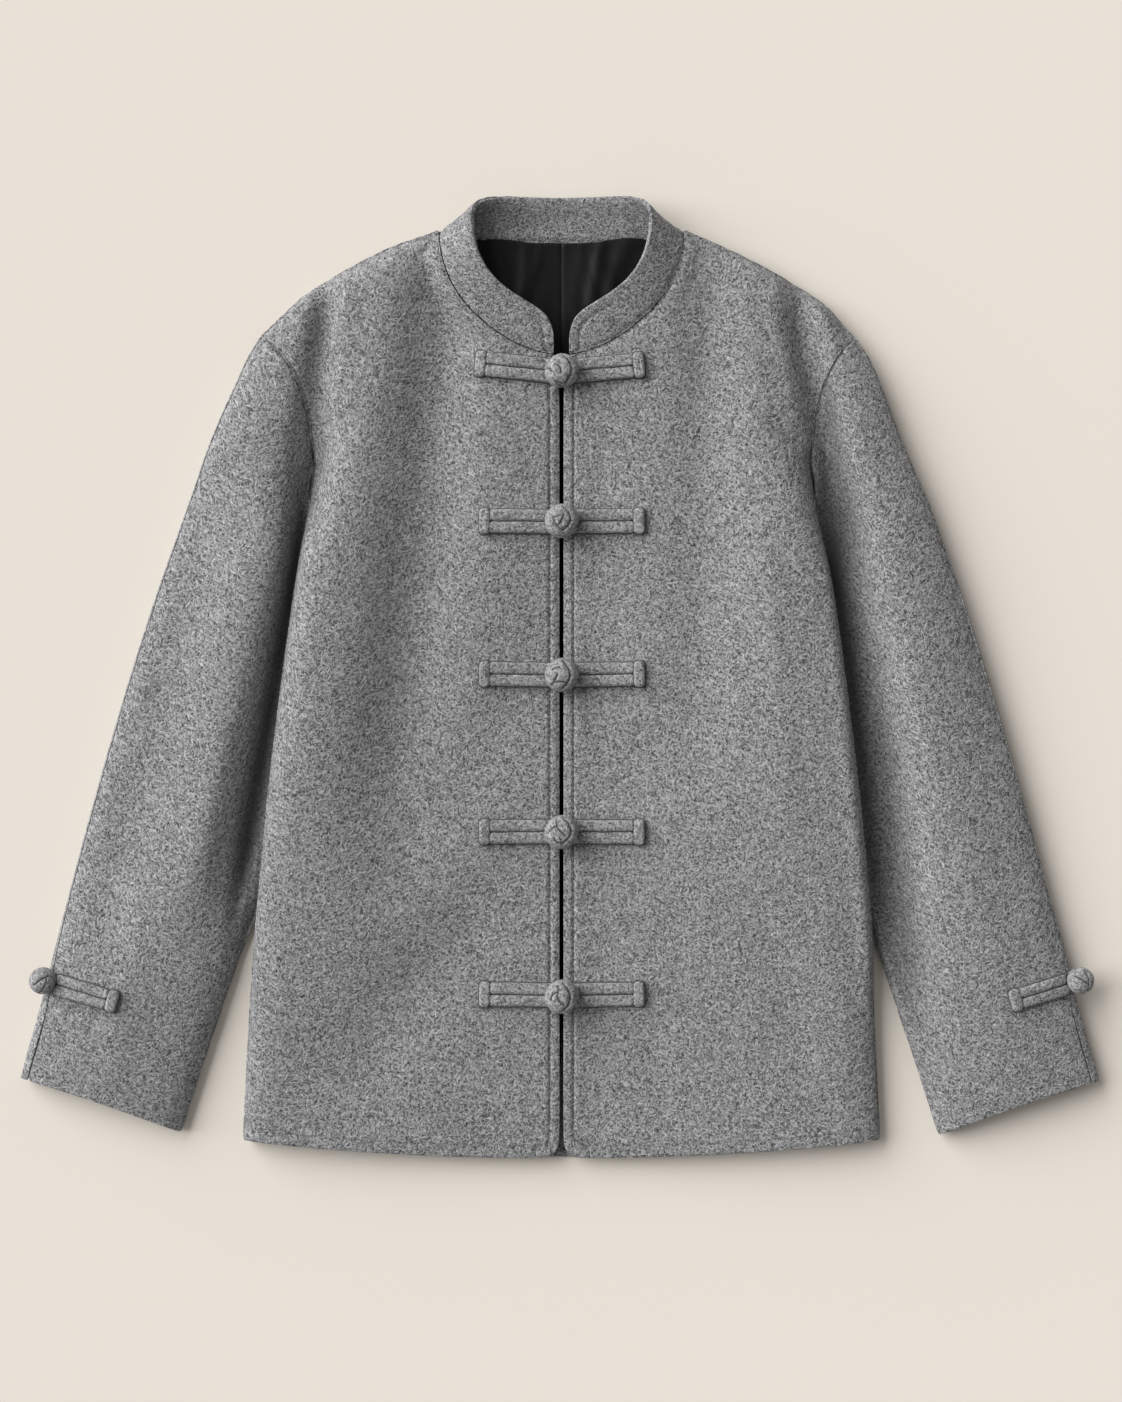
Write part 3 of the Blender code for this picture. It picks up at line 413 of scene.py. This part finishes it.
ARMHOLE_FOLDS = {
    "left": (Crease(-172, 315, -194, 85, 13, -13.0),),
    "right": (Crease(172, 320, 222, 60, 16, -16.0),),
}
SIDE_FOLDS = {"left": (), "right": (Crease(190, 200, 238, -300, 9, 4.5),)}
BODY_FOLDS = {side: ARMHOLE_FOLDS[side] + SIDE_FOLDS[side] for side in ("left", "right")}
WOOL_DARK = (0.055, 0.055, 0.058, 1)
WOOL_LIGHT = (0.55, 0.55, 0.56, 1)
HEM_REACH = 24
back_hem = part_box("back")[0].y / MM + HEM_REACH


def back_edge_kind(x, y):
    """The lower edge is turned up as a hem, and all the others are seams."""
    return "hem" if y < back_hem else "seam"


wool_cloth = wool("grey_wool", WOOL_DARK, WOOL_LIGHT, 1.0, STITCH_INSET)
back = cloth_shell("back", WOOL_WALL, 2, wool_cloth)
shape_panel(back, back_edge_kind, (), (0, 0, -1), BODY_FOLDS["left"] + BODY_FOLDS["right"])
settle(back, BODY_SHIFTS)

# Back lining: two halves of black satin joined at the centre back and sewn into the neck, with soft pleats
# below it. It shows through the neck and through the narrow gap between the fronts.
LINING_WALL = 1.0 * MM
LINING_PLEATS = {
    "left": (
        Crease(-26, 332, -34, 258, 6, 0.9),
        Crease(-47, 330, -40, 276, 5, 0.7),
    ),
    "right": (
        Crease(15, 332, 8, 262, 6, 0.6),
        Crease(31, 333, 20, 270, 4.5, 1.1),
        Crease(47, 333, 35, 280, 4.5, 1.0),
    ),
}
SATIN_DARK = (0.002, 0.002, 0.0025, 1)
SATIN_LIGHT = (0.007, 0.007, 0.008, 1)


def satin(name):
    """Black lining satin with a fine crosswise weave."""
    material = bpy.data.materials.new(name)
    material.use_nodes = True
    shader = material.node_tree.nodes["Principled BSDF"]
    shade = Shade(material.node_tree)
    place = shade.node("TexCoord", {}, {}, "Object")
    weave = {"Vector": place, "Scale": 420, "Distortion": 1.5}
    threads = shade.node("TexWave", {"bands_direction": "Y"}, weave)
    slubs = shade.node("TexNoise", {}, {"Vector": place, "Scale": 240, "Detail": 2.0})
    tone = (threads * 0.5 + slubs * 0.5).clamped()
    height = threads * 0.03 + slubs * 0.02
    bump = shade.node("Bump", {}, {"Height": height, "Distance": MM, "Strength": 0.6})
    links = material.node_tree.links
    links.new(mix_colour(tone, SATIN_DARK, SATIN_LIGHT).socket, shader.inputs["Base Color"])
    links.new((0.42 + slubs * 0.16).socket, shader.inputs["Roughness"])
    links.new(bump.socket, shader.inputs["Normal"])
    shader.inputs["Specular IOR Level"].default_value = 0.2
    return material


# Start and run of each change at the neck, in millimetres
NECK_TOP = (316, 10)
NECK_UPPER = (296, 26)
NECK_CORNER = (34, 22)
NECK_SIDE = (22, 26)
NECK_LIFT = 0.5 * MM
NECK_WIDENING = 9 * MM
NECK_RAISE = 2.5 * MM
NECK_SIDE_RAISE = 3.0 * MM
SEAM_CLOSING = 0.4 * MM
SEAM_CLOSING_REACH = 4 * MM
LINING_SEAM_DIP = 0.4 * MM
LINING_SEAM_REACH = 1.6 * MM


def rise(values, start, run):
    """A smooth rise from 0 to 1 over a run of millimetres beyond a start."""
    return ease((values - start * MM) / (run * MM))


def fill_neck(shell, pleats):
    """Lays the lining's pleats, draws its upper edge up under the collar that it is sewn to, and closes the
    centre seam."""
    points, _ = points_of(shell)
    points[:, 2] += crease_lift(points, pleats) + NECK_LIFT * rise(points[:, 1], *NECK_TOP)
    beside = np.abs(points[:, 0])
    upper = rise(points[:, 1], *NECK_UPPER)
    points[:, 0] += np.sign(points[:, 0]) * NECK_WIDENING * upper * rise(beside, *NECK_CORNER)
    points[:, 1] += (NECK_RAISE + NECK_SIDE_RAISE * rise(beside, *NECK_SIDE)) * upper
    points[:, 0] -= np.sign(points[:, 0]) * SEAM_CLOSING * ease(1 - beside / SEAM_CLOSING_REACH)
    points[:, 2] -= LINING_SEAM_DIP * np.exp(-((beside / LINING_SEAM_REACH) ** 2))
    shell.data.vertices.foreach_set("co", points.ravel())


black_satin = satin("black_satin")
for side in ("left", "right"):
    lining = cloth_shell("lining_" + side, LINING_WALL, 3, black_satin)
    fill_neck(lining, LINING_PLEATS[side])

# Fronts: two panels of the same wool that meet edge to edge. Their front edges and round lower corners are
# turned and topstitched, and their hems are turned up.
FRONT_EDGE_DROOP = Crease(-1, 480, -1, -490, 3.2, -1.3)
FRONT_CREASES = {
    "left": (
        Crease(-84, 400, -130, -190, 35, -12.5),
        Crease(-46, -150, -176, -330, 26, -2.6),
        Crease(-20, 15, -150, -205, 24, -2.4),
        FRONT_EDGE_DROOP,
    ),
    "right": (
        Crease(122, 390, 96, -110, 26, -6.0),
        Crease(9, 300, 9, -400, 15, 1.8),
        Crease(150, 130, 172, -140, 13, 1.2),
        Crease(66, -240, 78, -345, 14, -1.4),
        Crease(132, -150, 190, -310, 18, -1.6),
    ),
}
FRONT_INSIDE = 6.0 * MM
FRONT_EDGE = 14
NECK_CORNER_Y = 236
front_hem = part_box("front_left")[0].y / MM + HEM_REACH


def front_edge_kind(x, y):
    """The front edge and its round corner are topstitched, and the hem is only turned up."""
    if abs(x) < FRONT_EDGE and y < NECK_CORNER_Y:
        return "stitched"
    return "hem" if y < front_hem else "seam"


STITCH_CUTS = (-2.4, -1.5, -0.7, 0.0, 0.7, 1.5, 2.4)
STITCH_BAND = 12 * MM
CUT_SNAP = 0.05 * MM


def cut_along_stitching(shell, line_x):
    """Cuts close lines into a front beside its straight edge, for the stitching to pull in a groove."""
    mesh = bmesh.new()
    mesh.from_mesh(shell.data)
    for cut in STITCH_CUTS:
        band = [
            face for face in mesh.faces
            if any(abs(point.co.x - line_x) < STITCH_BAND for point in face.verts)
        ]
        parts = {part for face in band for part in (face, *face.edges, *face.verts)}
        plane = (line_x + cut * MM, 0, 0)
        bmesh.ops.bisect_plane(mesh, geom=list(parts), dist=CUT_SNAP, plane_co=plane, plane_no=(1, 0, 0))
    mesh.to_mesh(shell.data)
    mesh.free()


ABOVE_ALL = 1.0
CLOTH_LEVEL = 20 * MM


def height_of(*shells):
    """A function that gives the height of these shells' upper faces at a place."""
    graph = bpy.context.evaluated_depsgraph_get()
    trees = [BVHTree.FromObject(shell, graph) for shell in shells]

    def height(x, y):
        spots = [tree.ray_cast(Vector((x, y, ABOVE_ALL)), Vector((0, 0, -1)))[0] for tree in trees]
        heights = [spot.z for spot in spots if spot is not None]
        if heights:
            return max(heights)
        nearest = [tree.find_nearest(Vector((x, y, CLOTH_LEVEL)))[0] for tree in trees]
        return min(nearest, key=lambda spot: (spot.xy - Vector((x, y))).length).z

    return height


def thread_material(name, colour):
    """Dull sewing thread, a little lighter where its two plies cross."""
    material = bpy.data.materials.new(name)
    material.use_nodes = True
    shader = material.node_tree.nodes["Principled BSDF"]
    shade = Shade(material.node_tree)
    place = shade.node("TexCoord", {}, {}, "Object")
    plies = shade.node("TexWave", {"bands_direction": "DIAGONAL"}, {"Vector": place, "Scale": 600})
    lighter = tuple(value * 2 for value in colour[:3]) + (1,)
    material.node_tree.links.new(mix_colour(plies, colour, lighter).socket, shader.inputs["Base Color"])
    shader.inputs["Roughness"].default_value = 0.8
    shader.inputs["Specular IOR Level"].default_value = 0.2
    return material


Thread = namedtuple("Thread", "length width pitch")
EDGE_THREAD = Thread(length=3.4 * MM, width=0.95 * MM, pitch=4.4 * MM)
STITCH_LOW = -338
STITCH_HIGH = 232


def stitch_row(name, path, height, thread, material):
    """A row of stitches as one mesh: short bars of thread that lie in the groove they pull."""
    mesh = bmesh.new()
    for start, end in zip(path, path[1:]):
        low = Vector((*start, height(*start)))
        high = Vector((*end, height(*end)))
        turn = (high - low).to_track_quat("X", "Z")
        size = (thread.length / 2, thread.width / 2, thread.width / 2)
        bar = Matrix.LocRotScale((low + high) / 2, turn, size)
        bmesh.ops.create_icosphere(mesh, subdivisions=1, radius=1.0, matrix=bar)
    row = link(name, mesh, material)
    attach(row, "root")
    return row


grey_thread = thread_material("grey_thread", (0.05, 0.05, 0.052, 1))
fronts = {}
for side, sign in (("left", -1), ("right", 1)):
    front = cloth_shell("front_" + side, WOOL_WALL, 3, wool_cloth)
    low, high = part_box("front_" + side)
    stitch_x = min(low.x, high.x, key=abs) + sign * STITCH_INSET
    cut_along_stitching(front, stitch_x)
    shape_panel(front, front_edge_kind, FRONT_CREASES[side], (0, 0, 1), BODY_FOLDS[side], FRONT_INSIDE)
    settle(front, BODY_SHIFTS)
    spots = np.arange(STITCH_LOW * MM, STITCH_HIGH * MM, EDGE_THREAD.pitch)
    path = [(stitch_x, y) for y in spots]
    stitching = stitch_row(f"front_{side}_stitching", path, height_of(front), EDGE_THREAD, grey_thread)
    fronts[side] = front

# Stand collar: one folded band of wool, four millimetres thick. It is sewn round the neck, and its ends are
# topstitched.
COLLAR_WALL = 4.0 * MM
COLLAR_SEAM_Y = 248
COLLAR_SEAM_CURVE = 0.0078
COLLAR_BACK_Y = 326
COLLAR_BACK_X = 62
COLLAR_STITCH_LEFT = -26
COLLAR_STITCH_RIGHT = 40
COLLAR_STITCH_TOP = 300
# A line of painted shade across the back of the collar, where the colour is darkened
COLLAR_PAINTED_SHADE = (Crease(-130, 351, 130, 351, 9, 0.25),)


def collar_edge_kind(x, y):
    """The collar's ends and its top edge are finished, and the lower edge is sewn on."""
    below_front = y < COLLAR_SEAM_Y + COLLAR_SEAM_CURVE * x * x
    at_back = y > COLLAR_BACK_Y and abs(x) < COLLAR_BACK_X
    return "seam" if below_front or at_back else "stitched"


def collar_stitched_at(points):
    """The topstitching runs up the collar's ends and stops a little way along its top edge."""
    across = points[:, 0] / MM
    beside_end = (across > COLLAR_STITCH_LEFT) & (across < COLLAR_STITCH_RIGHT)
    return beside_end & (points[:, 1] < COLLAR_STITCH_TOP * MM)


collar = cloth_shell("collar", COLLAR_WALL, 3, wool_cloth)
shape_panel(
    collar, collar_edge_kind, (), (0, 0, 1), painted_shade_lines=COLLAR_PAINTED_SHADE, stitched_at=collar_stitched_at,
)

# Sleeves: two pieces of wool each, a top sleeve and an under sleeve. They are joined along the inner edge
# and along the outer fold, where the seam is left open at the cuff as a short vent.
SLEEVE_CREASES = {
    "left": (
        Crease(-194, 180, -273, -200, 19, 11.0),
        Crease(-186, 190, -246, -220, 6, -7.0),
        Crease(-300, -120, -342, -320, 15, 1.2),
    ),
    "right": (
        Crease(208, 140, 276, -310, 18, -12.0),
        Crease(290, 100, 350, -200, 18, -1.5),
        Crease(300, -120, 342, -320, 15, 1.2),
    ),
}
SLEEVE_FOLDS = {
    "left": ARMHOLE_FOLDS["left"] + (Crease(-243, 200, -358, -260, 30, -8.5),),
    "right": ARMHOLE_FOLDS["right"],
}
# Lines of painted shade on the top sleeves: the colour darkens in the crack beside the body, where the
# body's shadow falls on the right sleeve, and in the right armhole
SLEEVE_PAINTED_SHADE = {
    "left": (Crease(-186, 190, -246, -230, 8, 0.9),),
    "right": (
        Crease(190, 190, 250, -250, 9, 0.5),
        Crease(166, 330, 278, -340, 15, 0.42),
        Crease(196, 290, 222, 40, 12, 0.4),
    ),
}
SLEEVE_SHIFTS = {
    "left": (Shift(-200, -240, -420, 235, -4.2, 0), Shift(-200, -260, -420, -190, 0, -3.0)),
    "right": (Shift(200, 240, -420, -150, 1.7, 0), Shift(200, 260, -420, -190, 0, -5.2)),
}
SLEEVE_INSIDE = 3.0 * MM
CUFF_TOP = -280
OUTER_FOLD_X = 287.5
OUTER_FOLD_SLOPE = 0.3


def sleeve_edge_kind(x, y):
    """The cuff edge and the outer fold are smooth, and seams pull in the inner edge and the armhole."""
    if y < CUFF_TOP or abs(x) > OUTER_FOLD_X - OUTER_FOLD_SLOPE * y:
        return "smooth"
    return "seam"


sleeves = {}
for side in ("left", "right"):
    for half, outward in (("top", (0, 0, 1)), ("under", (0, 0, -1))):
        sleeve = cloth_shell(f"sleeve_{side}_{half}", WOOL_WALL, 3, wool_cloth)
        if half == "top":
            shape_panel(
                sleeve, sleeve_edge_kind, SLEEVE_CREASES[side], outward, SLEEVE_FOLDS[side], SLEEVE_INSIDE,
                SLEEVE_PAINTED_SHADE[side],
            )
        else:
            shape_panel(sleeve, sleeve_edge_kind, (), outward, SLEEVE_FOLDS[side])
        settle(sleeve, SHOULDER_SHIFTS[side] + SLEEVE_SHIFTS[side])
        sleeves[side, half] = sleeve

# Front frogs: each has a ball knot and two strips of folded wool cord with a square wrapped end. They are
# sewn flat to the fronts and close them edge to edge.
FROG_LIGHT = (0.61, 0.61, 0.62, 1)
FROG_CONTRAST = 0.8
frog_wool = wool("frog_wool", WOOL_DARK, FROG_LIGHT, FROG_CONTRAST)
FrogSizes = namedtuple("FrogSizes", "start end width rise end_length end_width end_rise")
FRONT_FROG = FrogSizes(
    start=2.5 * MM, end=53.5 * MM, width=18 * MM, rise=5.4 * MM,
    end_length=8.6 * MM, end_width=19.6 * MM, end_rise=6.0 * MM,
)
TOP_FROG = {"left": FRONT_FROG._replace(end=57 * MM), "right": FRONT_FROG}
TOP_SLANT = {"left": 2.3, "right": -3.4}
CORD_CORNER = 2.6 * MM
END_CORNER = 3.4 * MM
CORD_ROUNDING = 2.4 * MM
ROUND_STEPS = 4
CORD_GAP = 0.15 * MM
CORD_CUTS = 17
END_CUTS = 5
LONG_EDGE = 0.4
# A low base a little wider than each strip and its end, painted dark as the shadow line round them
FROG_SHADOW_RIM = 0.8 * MM
FROG_SHADOW_RIM_RISE = 1.0 * MM
FROG_SHADOW_RIM_ROUNDING = 0.5 * MM
FROG_SHADOW_RIM_PAINTED_SHADE = 0.8
CORD_WAVE = 0.35 * MM
WAVE_SCALE = 90
WAVE_SEED = 1
FROG_SEAT = 0.2 * MM
# Without a seed of its own the noise would start anew in each run
noise.seed_set(WAVE_SEED)


def padded_bar(mesh, low, high, cuts, corner, rounding):
    """Adds a soft bar to a bmesh: a box with round corners and a rounded top, cut across its length."""
    made = bmesh.ops.create_cube(mesh, size=1.0)["verts"]
    bmesh.ops.scale(mesh, vec=Vector(high) - Vector(low), verts=made)
    bmesh.ops.translate(mesh, vec=(Vector(low) + Vector(high)) / 2, verts=made)
    edges = {edge for point in made for edge in point.link_edges}
    upright = [edge for edge in edges if abs(edge.verts[0].co.z - edge.verts[1].co.z) > MERGE]
    rounded = bmesh.ops.bevel(
        mesh, geom=upright, offset=corner, segments=ROUND_STEPS, profile=0.5, affect="EDGES", material=-1,
    )
    edges = {edge for point in rounded["verts"] for edge in point.link_edges}
    top = [edge for edge in edges if min(point.co.z for point in edge.verts) > high[2] - MERGE]
    bmesh.ops.bevel(
        mesh, geom=top, offset=rounding, segments=ROUND_STEPS, profile=0.5, affect="EDGES", material=-1,
    )
    long_edges = [
        edge for edge in mesh.edges
        if abs(edge.verts[0].co.x - edge.verts[1].co.x) > (high[0] - low[0]) * LONG_EDGE
    ]
    bmesh.ops.subdivide_edges(mesh, edges=long_edges, cuts=cuts, use_grid_fill=True)


def lay_frog(name, node, mesh, knot, angle, height):
    """Turns a frog's piece into line, sets it on the cloth below with a slight waver, and dresses it, with
    painted shadow on its low base.
    """
    bmesh.ops.rotate(mesh, verts=mesh.verts, cent=(0, 0, 0), matrix=Matrix.Rotation(angle, 3, "Z"))
    bmesh.ops.translate(mesh, verts=mesh.verts, vec=(knot.x, knot.y, 0))
    painted_shade = mesh.verts.layers.float.new("painted_shade")
    for point in mesh.verts:
        # Painted shadow: the low base's colour is darkened, standing for the shadow line round the frog
        point[painted_shade] = FROG_SHADOW_RIM_PAINTED_SHADE if point.co.z < FROG_SHADOW_RIM_RISE + MERGE else 0.0
        waver = noise.noise_vector(point.co * WAVE_SCALE) * CORD_WAVE
        point.co += Vector((waver.x, waver.y, waver.z + height(point.co.x, point.co.y) + FROG_SEAT))
    piece = link(name, mesh, frog_wool)
    smoothed(piece, 1)
    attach(piece, "root")
    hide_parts(node)


def middle_of(node):
    """The middle of a solid's box."""
    low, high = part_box(node)
    return (low + high) / 2


def frog_strip(node, end_node, knot, height, sizes, slant=0):
    """A strip of two cords side by side and the square wrapped end at their tips, each on a low wider base
    painted dark as a painted shadow line.
    """
    away = middle_of(end_node) - knot
    angle = np.arctan2(away.y, away.x) + radians(slant)
    half = sizes.width / 2
    mesh = bmesh.new()
    # The low base under the cords is painted dark as the shadow line round the strip
    shadow_rim_low = (sizes.start, -half - FROG_SHADOW_RIM, 0)
    shadow_rim_high = (sizes.end, half + FROG_SHADOW_RIM, FROG_SHADOW_RIM_RISE)
    padded_bar(mesh, shadow_rim_low, shadow_rim_high, CORD_CUTS, CORD_CORNER, FROG_SHADOW_RIM_ROUNDING)
    for low, high in ((-half, -CORD_GAP), (CORD_GAP, half)):
        cord_low = (sizes.start, low, 0)
        cord_high = (sizes.end + MM, high, sizes.rise)
        padded_bar(mesh, cord_low, cord_high, CORD_CUTS, CORD_CORNER, CORD_ROUNDING)
    lay_frog(node + "_cords", node, mesh, knot, angle, height)
    mesh = bmesh.new()
    # The low base of the wrapped end, painted dark as its shadow line
    hem = (FROG_SHADOW_RIM, FROG_SHADOW_RIM_RISE, FROG_SHADOW_RIM_ROUNDING)
    wrap = (0, sizes.end_rise, CORD_ROUNDING)
    for spread, top, rounding in (hem, wrap):
        low = (sizes.end - spread, -sizes.end_width / 2 - spread, 0)
        high = (sizes.end + sizes.end_length + spread, sizes.end_width / 2 + spread, top)
        padded_bar(mesh, low, high, END_CUTS, END_CORNER, rounding)
    lay_frog(end_node + "_wrap", end_node, mesh, knot, angle, height)


# Creases of each knot from above, in shares of its radius: from one point to another, bowed sideways
Groove = namedtuple("Groove", "u v end_u end_v bow depth")
KNOT_GROOVES = {
    "frog_1_knot": (
        Groove(0.07, 0.90, 0.23, -0.82, 0.45, 0.20),
        Groove(-0.27, -0.72, 0.37, -0.37, -0.30, 0.12),
        Groove(-0.36, 0.28, -0.07, -0.22, 0.14, 0.10),
        Groove(-0.95, 0.10, -0.62, -0.12, 0.05, 0.10),
    ),
    "frog_2_knot": (
        Groove(0.13, 0.80, 0.10, -0.62, 0.43, 0.20),
        Groove(0.10, -0.62, -0.50, 0.15, 0.14, 0.12),
        Groove(-0.23, -0.32, 0.10, 0.32, -0.06, 0.11),
        Groove(-0.56, 0.22, -0.14, 0.30, -0.05, 0.09),
    ),
    "frog_3_knot": (
        Groove(0.14, 0.78, 0.07, -0.80, 0.41, 0.20),
        Groove(-0.58, 0.30, -0.12, 0.46, 0.03, 0.11),
        Groove(-0.26, 0.05, -0.62, -0.62, 0.04, 0.12),
        Groove(-0.41, -0.48, 0.24, -0.50, 0.07, 0.11),
    ),
    "frog_4_knot": (
        Groove(0.13, 0.86, 0.04, -0.66, 0.50, 0.20),
        Groove(0.04, -0.66, -0.46, -0.34, 0.10, 0.12),
        Groove(-0.32, 0.70, -0.32, 0.37, 0.02, 0.12),
        Groove(-0.32, 0.37, -0.72, 0.06, -0.08, 0.12),
        Groove(-0.32, 0.37, 0.24, -0.18, -0.03, 0.13),
    ),
    "frog_5_knot": (
        Groove(0.09, 0.88, 0.06, -0.82, 0.46, 0.20),
        Groove(-0.23, 0.72, -0.23, 0.37, 0.02, 0.12),
        Groove(-0.23, 0.37, -0.66, -0.12, -0.12, 0.13),
        Groove(-0.23, 0.37, 0.16, -0.45, -0.18, 0.12),
    ),
    "cuff_left_knot": (
        Groove(-0.55, -0.30, 0.62, 0.42, 0.06, 0.17),
        Groove(-0.10, -0.85, 0.45, 0.25, -0.16, 0.08),
    ),
    "cuff_right_knot": (
        Groove(0.55, -0.30, -0.62, 0.42, -0.06, 0.17),
        Groove(0.20, 0.80, 0.38, -0.72, 0.22, 0.10),
    ),
}
KNOT_DETAIL = 6
KNOT_SWELL = 1.07
KNOT_FULLNESS = 2.5
GROOVE_STEPS = 32
GROOVE_WIDTH = 0.06
# How wide and how dark the painted shade in each knot crease is
KNOT_PAINTED_SHADE_WIDTH = 0.055
KNOT_PAINTED_SHADE = 0.95
SIDE_TURNS = (0, 118, 236)
TURN_AXIS = (0.8, 0.6, 0)


def groove_path(groove, turn):
    """Points along a groove on a ball of radius 1, with the ball tipped over by turn degrees."""
    share = np.linspace(0, 1, GROOVE_STEPS)[:, None]
    start = np.array((groove.u, groove.v))
    run = np.array((groove.end_u, groove.end_v)) - start
    side = np.array((-run[1], run[0])) / np.linalg.norm(run)
    flat = start + run * share + side * groove.bow * 4 * share * (1 - share)
    upward = np.sqrt(np.clip(1 - (flat**2).sum(1), 0, 1))
    tip = np.array(Matrix.Rotation(radians(turn), 3, TURN_AXIS))
    return np.column_stack((flat, upward)) @ tip.T


def knot_ball(node, grooves):
    """A ball knot: cloth cords wound tightly over each other, so that only the creases between them show.
    The same creases, turned, go round the sides, and their colour is darkened as painted shade. The ball is
    a little fuller than a sphere."""
    low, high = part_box(node)
    radius = (high.x - low.x) / 2
    centre = np.array(((low.x + high.x) / 2, (low.y + high.y) / 2, high.z - radius))
    mesh = bmesh.new()
    bmesh.ops.create_icosphere(mesh, subdivisions=KNOT_DETAIL, radius=1.0)
    rays = np.array([point.co.normalized() for point in mesh.verts])
    cut = np.zeros(len(rays))
    painted_shade = np.zeros(len(rays))
    for turn in SIDE_TURNS:
        for groove in grooves:
            path = groove_path(groove, turn)
            near = np.sqrt(((rays[:, None] - path[None]) ** 2).sum(2).min(1))
            cut = np.maximum(cut, groove.depth * np.exp(-near / GROOVE_WIDTH))
            # Painted shade: the colour darkens along each crease
            painted_shade = np.maximum(painted_shade, KNOT_PAINTED_SHADE * np.exp(-((near / KNOT_PAINTED_SHADE_WIDTH) ** 2)))
    beside = np.minimum(np.linalg.norm(rays[:, :2], axis=1), 1)
    full = rays.copy()
    full[:, 2] = np.sign(rays[:, 2]) * (1 - beside**KNOT_FULLNESS) ** (1 / KNOT_FULLNESS)
    places = full * (1 - cut)[:, None] * radius * KNOT_SWELL + centre
    places[:, 2] = np.maximum(places[:, 2], low.z)
    for point, place in zip(mesh.verts, places):
        point.co = place
    ball = link(node + "_ball", mesh, frog_wool)
    keep_on_mesh(ball, painted_shade, "painted_shade")
    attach(ball, "root")
    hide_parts(node)


front_height = height_of(*fronts.values())
for number in range(1, 6):
    knot_node = f"frog_{number}_knot"
    for side in ("left", "right"):
        strip_node = f"frog_{number}_{side}"
        sizes = TOP_FROG[side] if number == 1 else FRONT_FROG
        slant = TOP_SLANT[side] if number == 1 else 0
        frog_strip(strip_node, strip_node + "_end", middle_of(knot_node), front_height, sizes, slant)
    knot_ball(knot_node, KNOT_GROOVES[knot_node])

# Cuff frogs: a smaller ball knot over the outer fold of each sleeve, with one strip of two wool cords that
# slants in over the top sleeve, to which it is sewn.
LEFT_CUFF_FROG = FrogSizes(
    start=9 * MM, end=50.5 * MM, width=15.6 * MM, rise=5.2 * MM,
    end_length=8.8 * MM, end_width=17 * MM, end_rise=5.8 * MM,
)
CUFF_FROGS = {
    "left": LEFT_CUFF_FROG,
    "right": LEFT_CUFF_FROG._replace(end=46.5 * MM, end_length=9.2 * MM),
}
CUFF_SLANT = {"left": -5, "right": 5}
for side in ("left", "right"):
    knot_node = f"cuff_{side}_knot"
    cuff_height = height_of(sleeves[side, "top"])
    knot = middle_of(knot_node)
    sizes = CUFF_FROGS[side]
    slant = CUFF_SLANT[side]
    frog_strip(f"cuff_{side}_strip", f"cuff_{side}_end", knot, cuff_height, sizes, slant)
    knot_ball(knot_node, KNOT_GROOVES[knot_node])

# Floor, light and camera: a plain pale floor, one large soft light from the upper left with a weak even
# fill from all round, and a camera that looks straight down.
FLOOR_HALF = 6.0
FLOOR_COLOUR = (0.82, 0.765, 0.69, 1)
mesh = bmesh.new()
bmesh.ops.create_grid(mesh, x_segments=1, y_segments=1, size=FLOOR_HALF)
pale = bpy.data.materials.new("pale_floor")
pale.use_nodes = True
pale_shader = pale.node_tree.nodes["Principled BSDF"]
pale_shader.inputs["Base Color"].default_value = FLOOR_COLOUR
pale_shader.inputs["Roughness"].default_value = 0.9
pale_shader.inputs["Specular IOR Level"].default_value = 0.1
floor = link("floor", mesh, pale)
floor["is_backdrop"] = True

KEY_FROM = Vector((-0.77, 0.43, 0.48))
KEY_STRENGTH = 4.6
KEY_SPREAD = radians(66)
key = bpy.data.lights.new("key", "SUN")
key.energy = KEY_STRENGTH
key.angle = KEY_SPREAD
key_light = bpy.data.objects.new("key", key)
key_light.rotation_euler = KEY_FROM.to_track_quat("Z", "Y").to_euler()
bpy.context.scene.collection.objects.link(key_light)

FILL_COLOUR = (1, 0.985, 0.965, 1)
FILL_STRENGTH = 0.28
world = bpy.data.worlds.new("studio")
world.use_nodes = True
fill = world.node_tree.nodes["Background"]
fill.inputs["Color"].default_value = FILL_COLOUR
fill.inputs["Strength"].default_value = FILL_STRENGTH
bpy.context.scene.world = world
bpy.context.scene.view_settings.view_transform = "Standard"

PHOTO_LONG_SIDE = 1051.5 * MM
VIEW_CENTRE = Vector((-0.4, -18, 20)) * MM
lens = bpy.data.cameras.new("camera")
lens.lens = 85
lens.sensor_width = 36
camera = bpy.data.objects.new("camera", lens)
camera.location = VIEW_CENTRE + Vector((0, 0, PHOTO_LONG_SIDE * lens.lens / lens.sensor_width))
bpy.context.scene.collection.objects.link(camera)
bpy.context.scene.camera = camera

low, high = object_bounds()
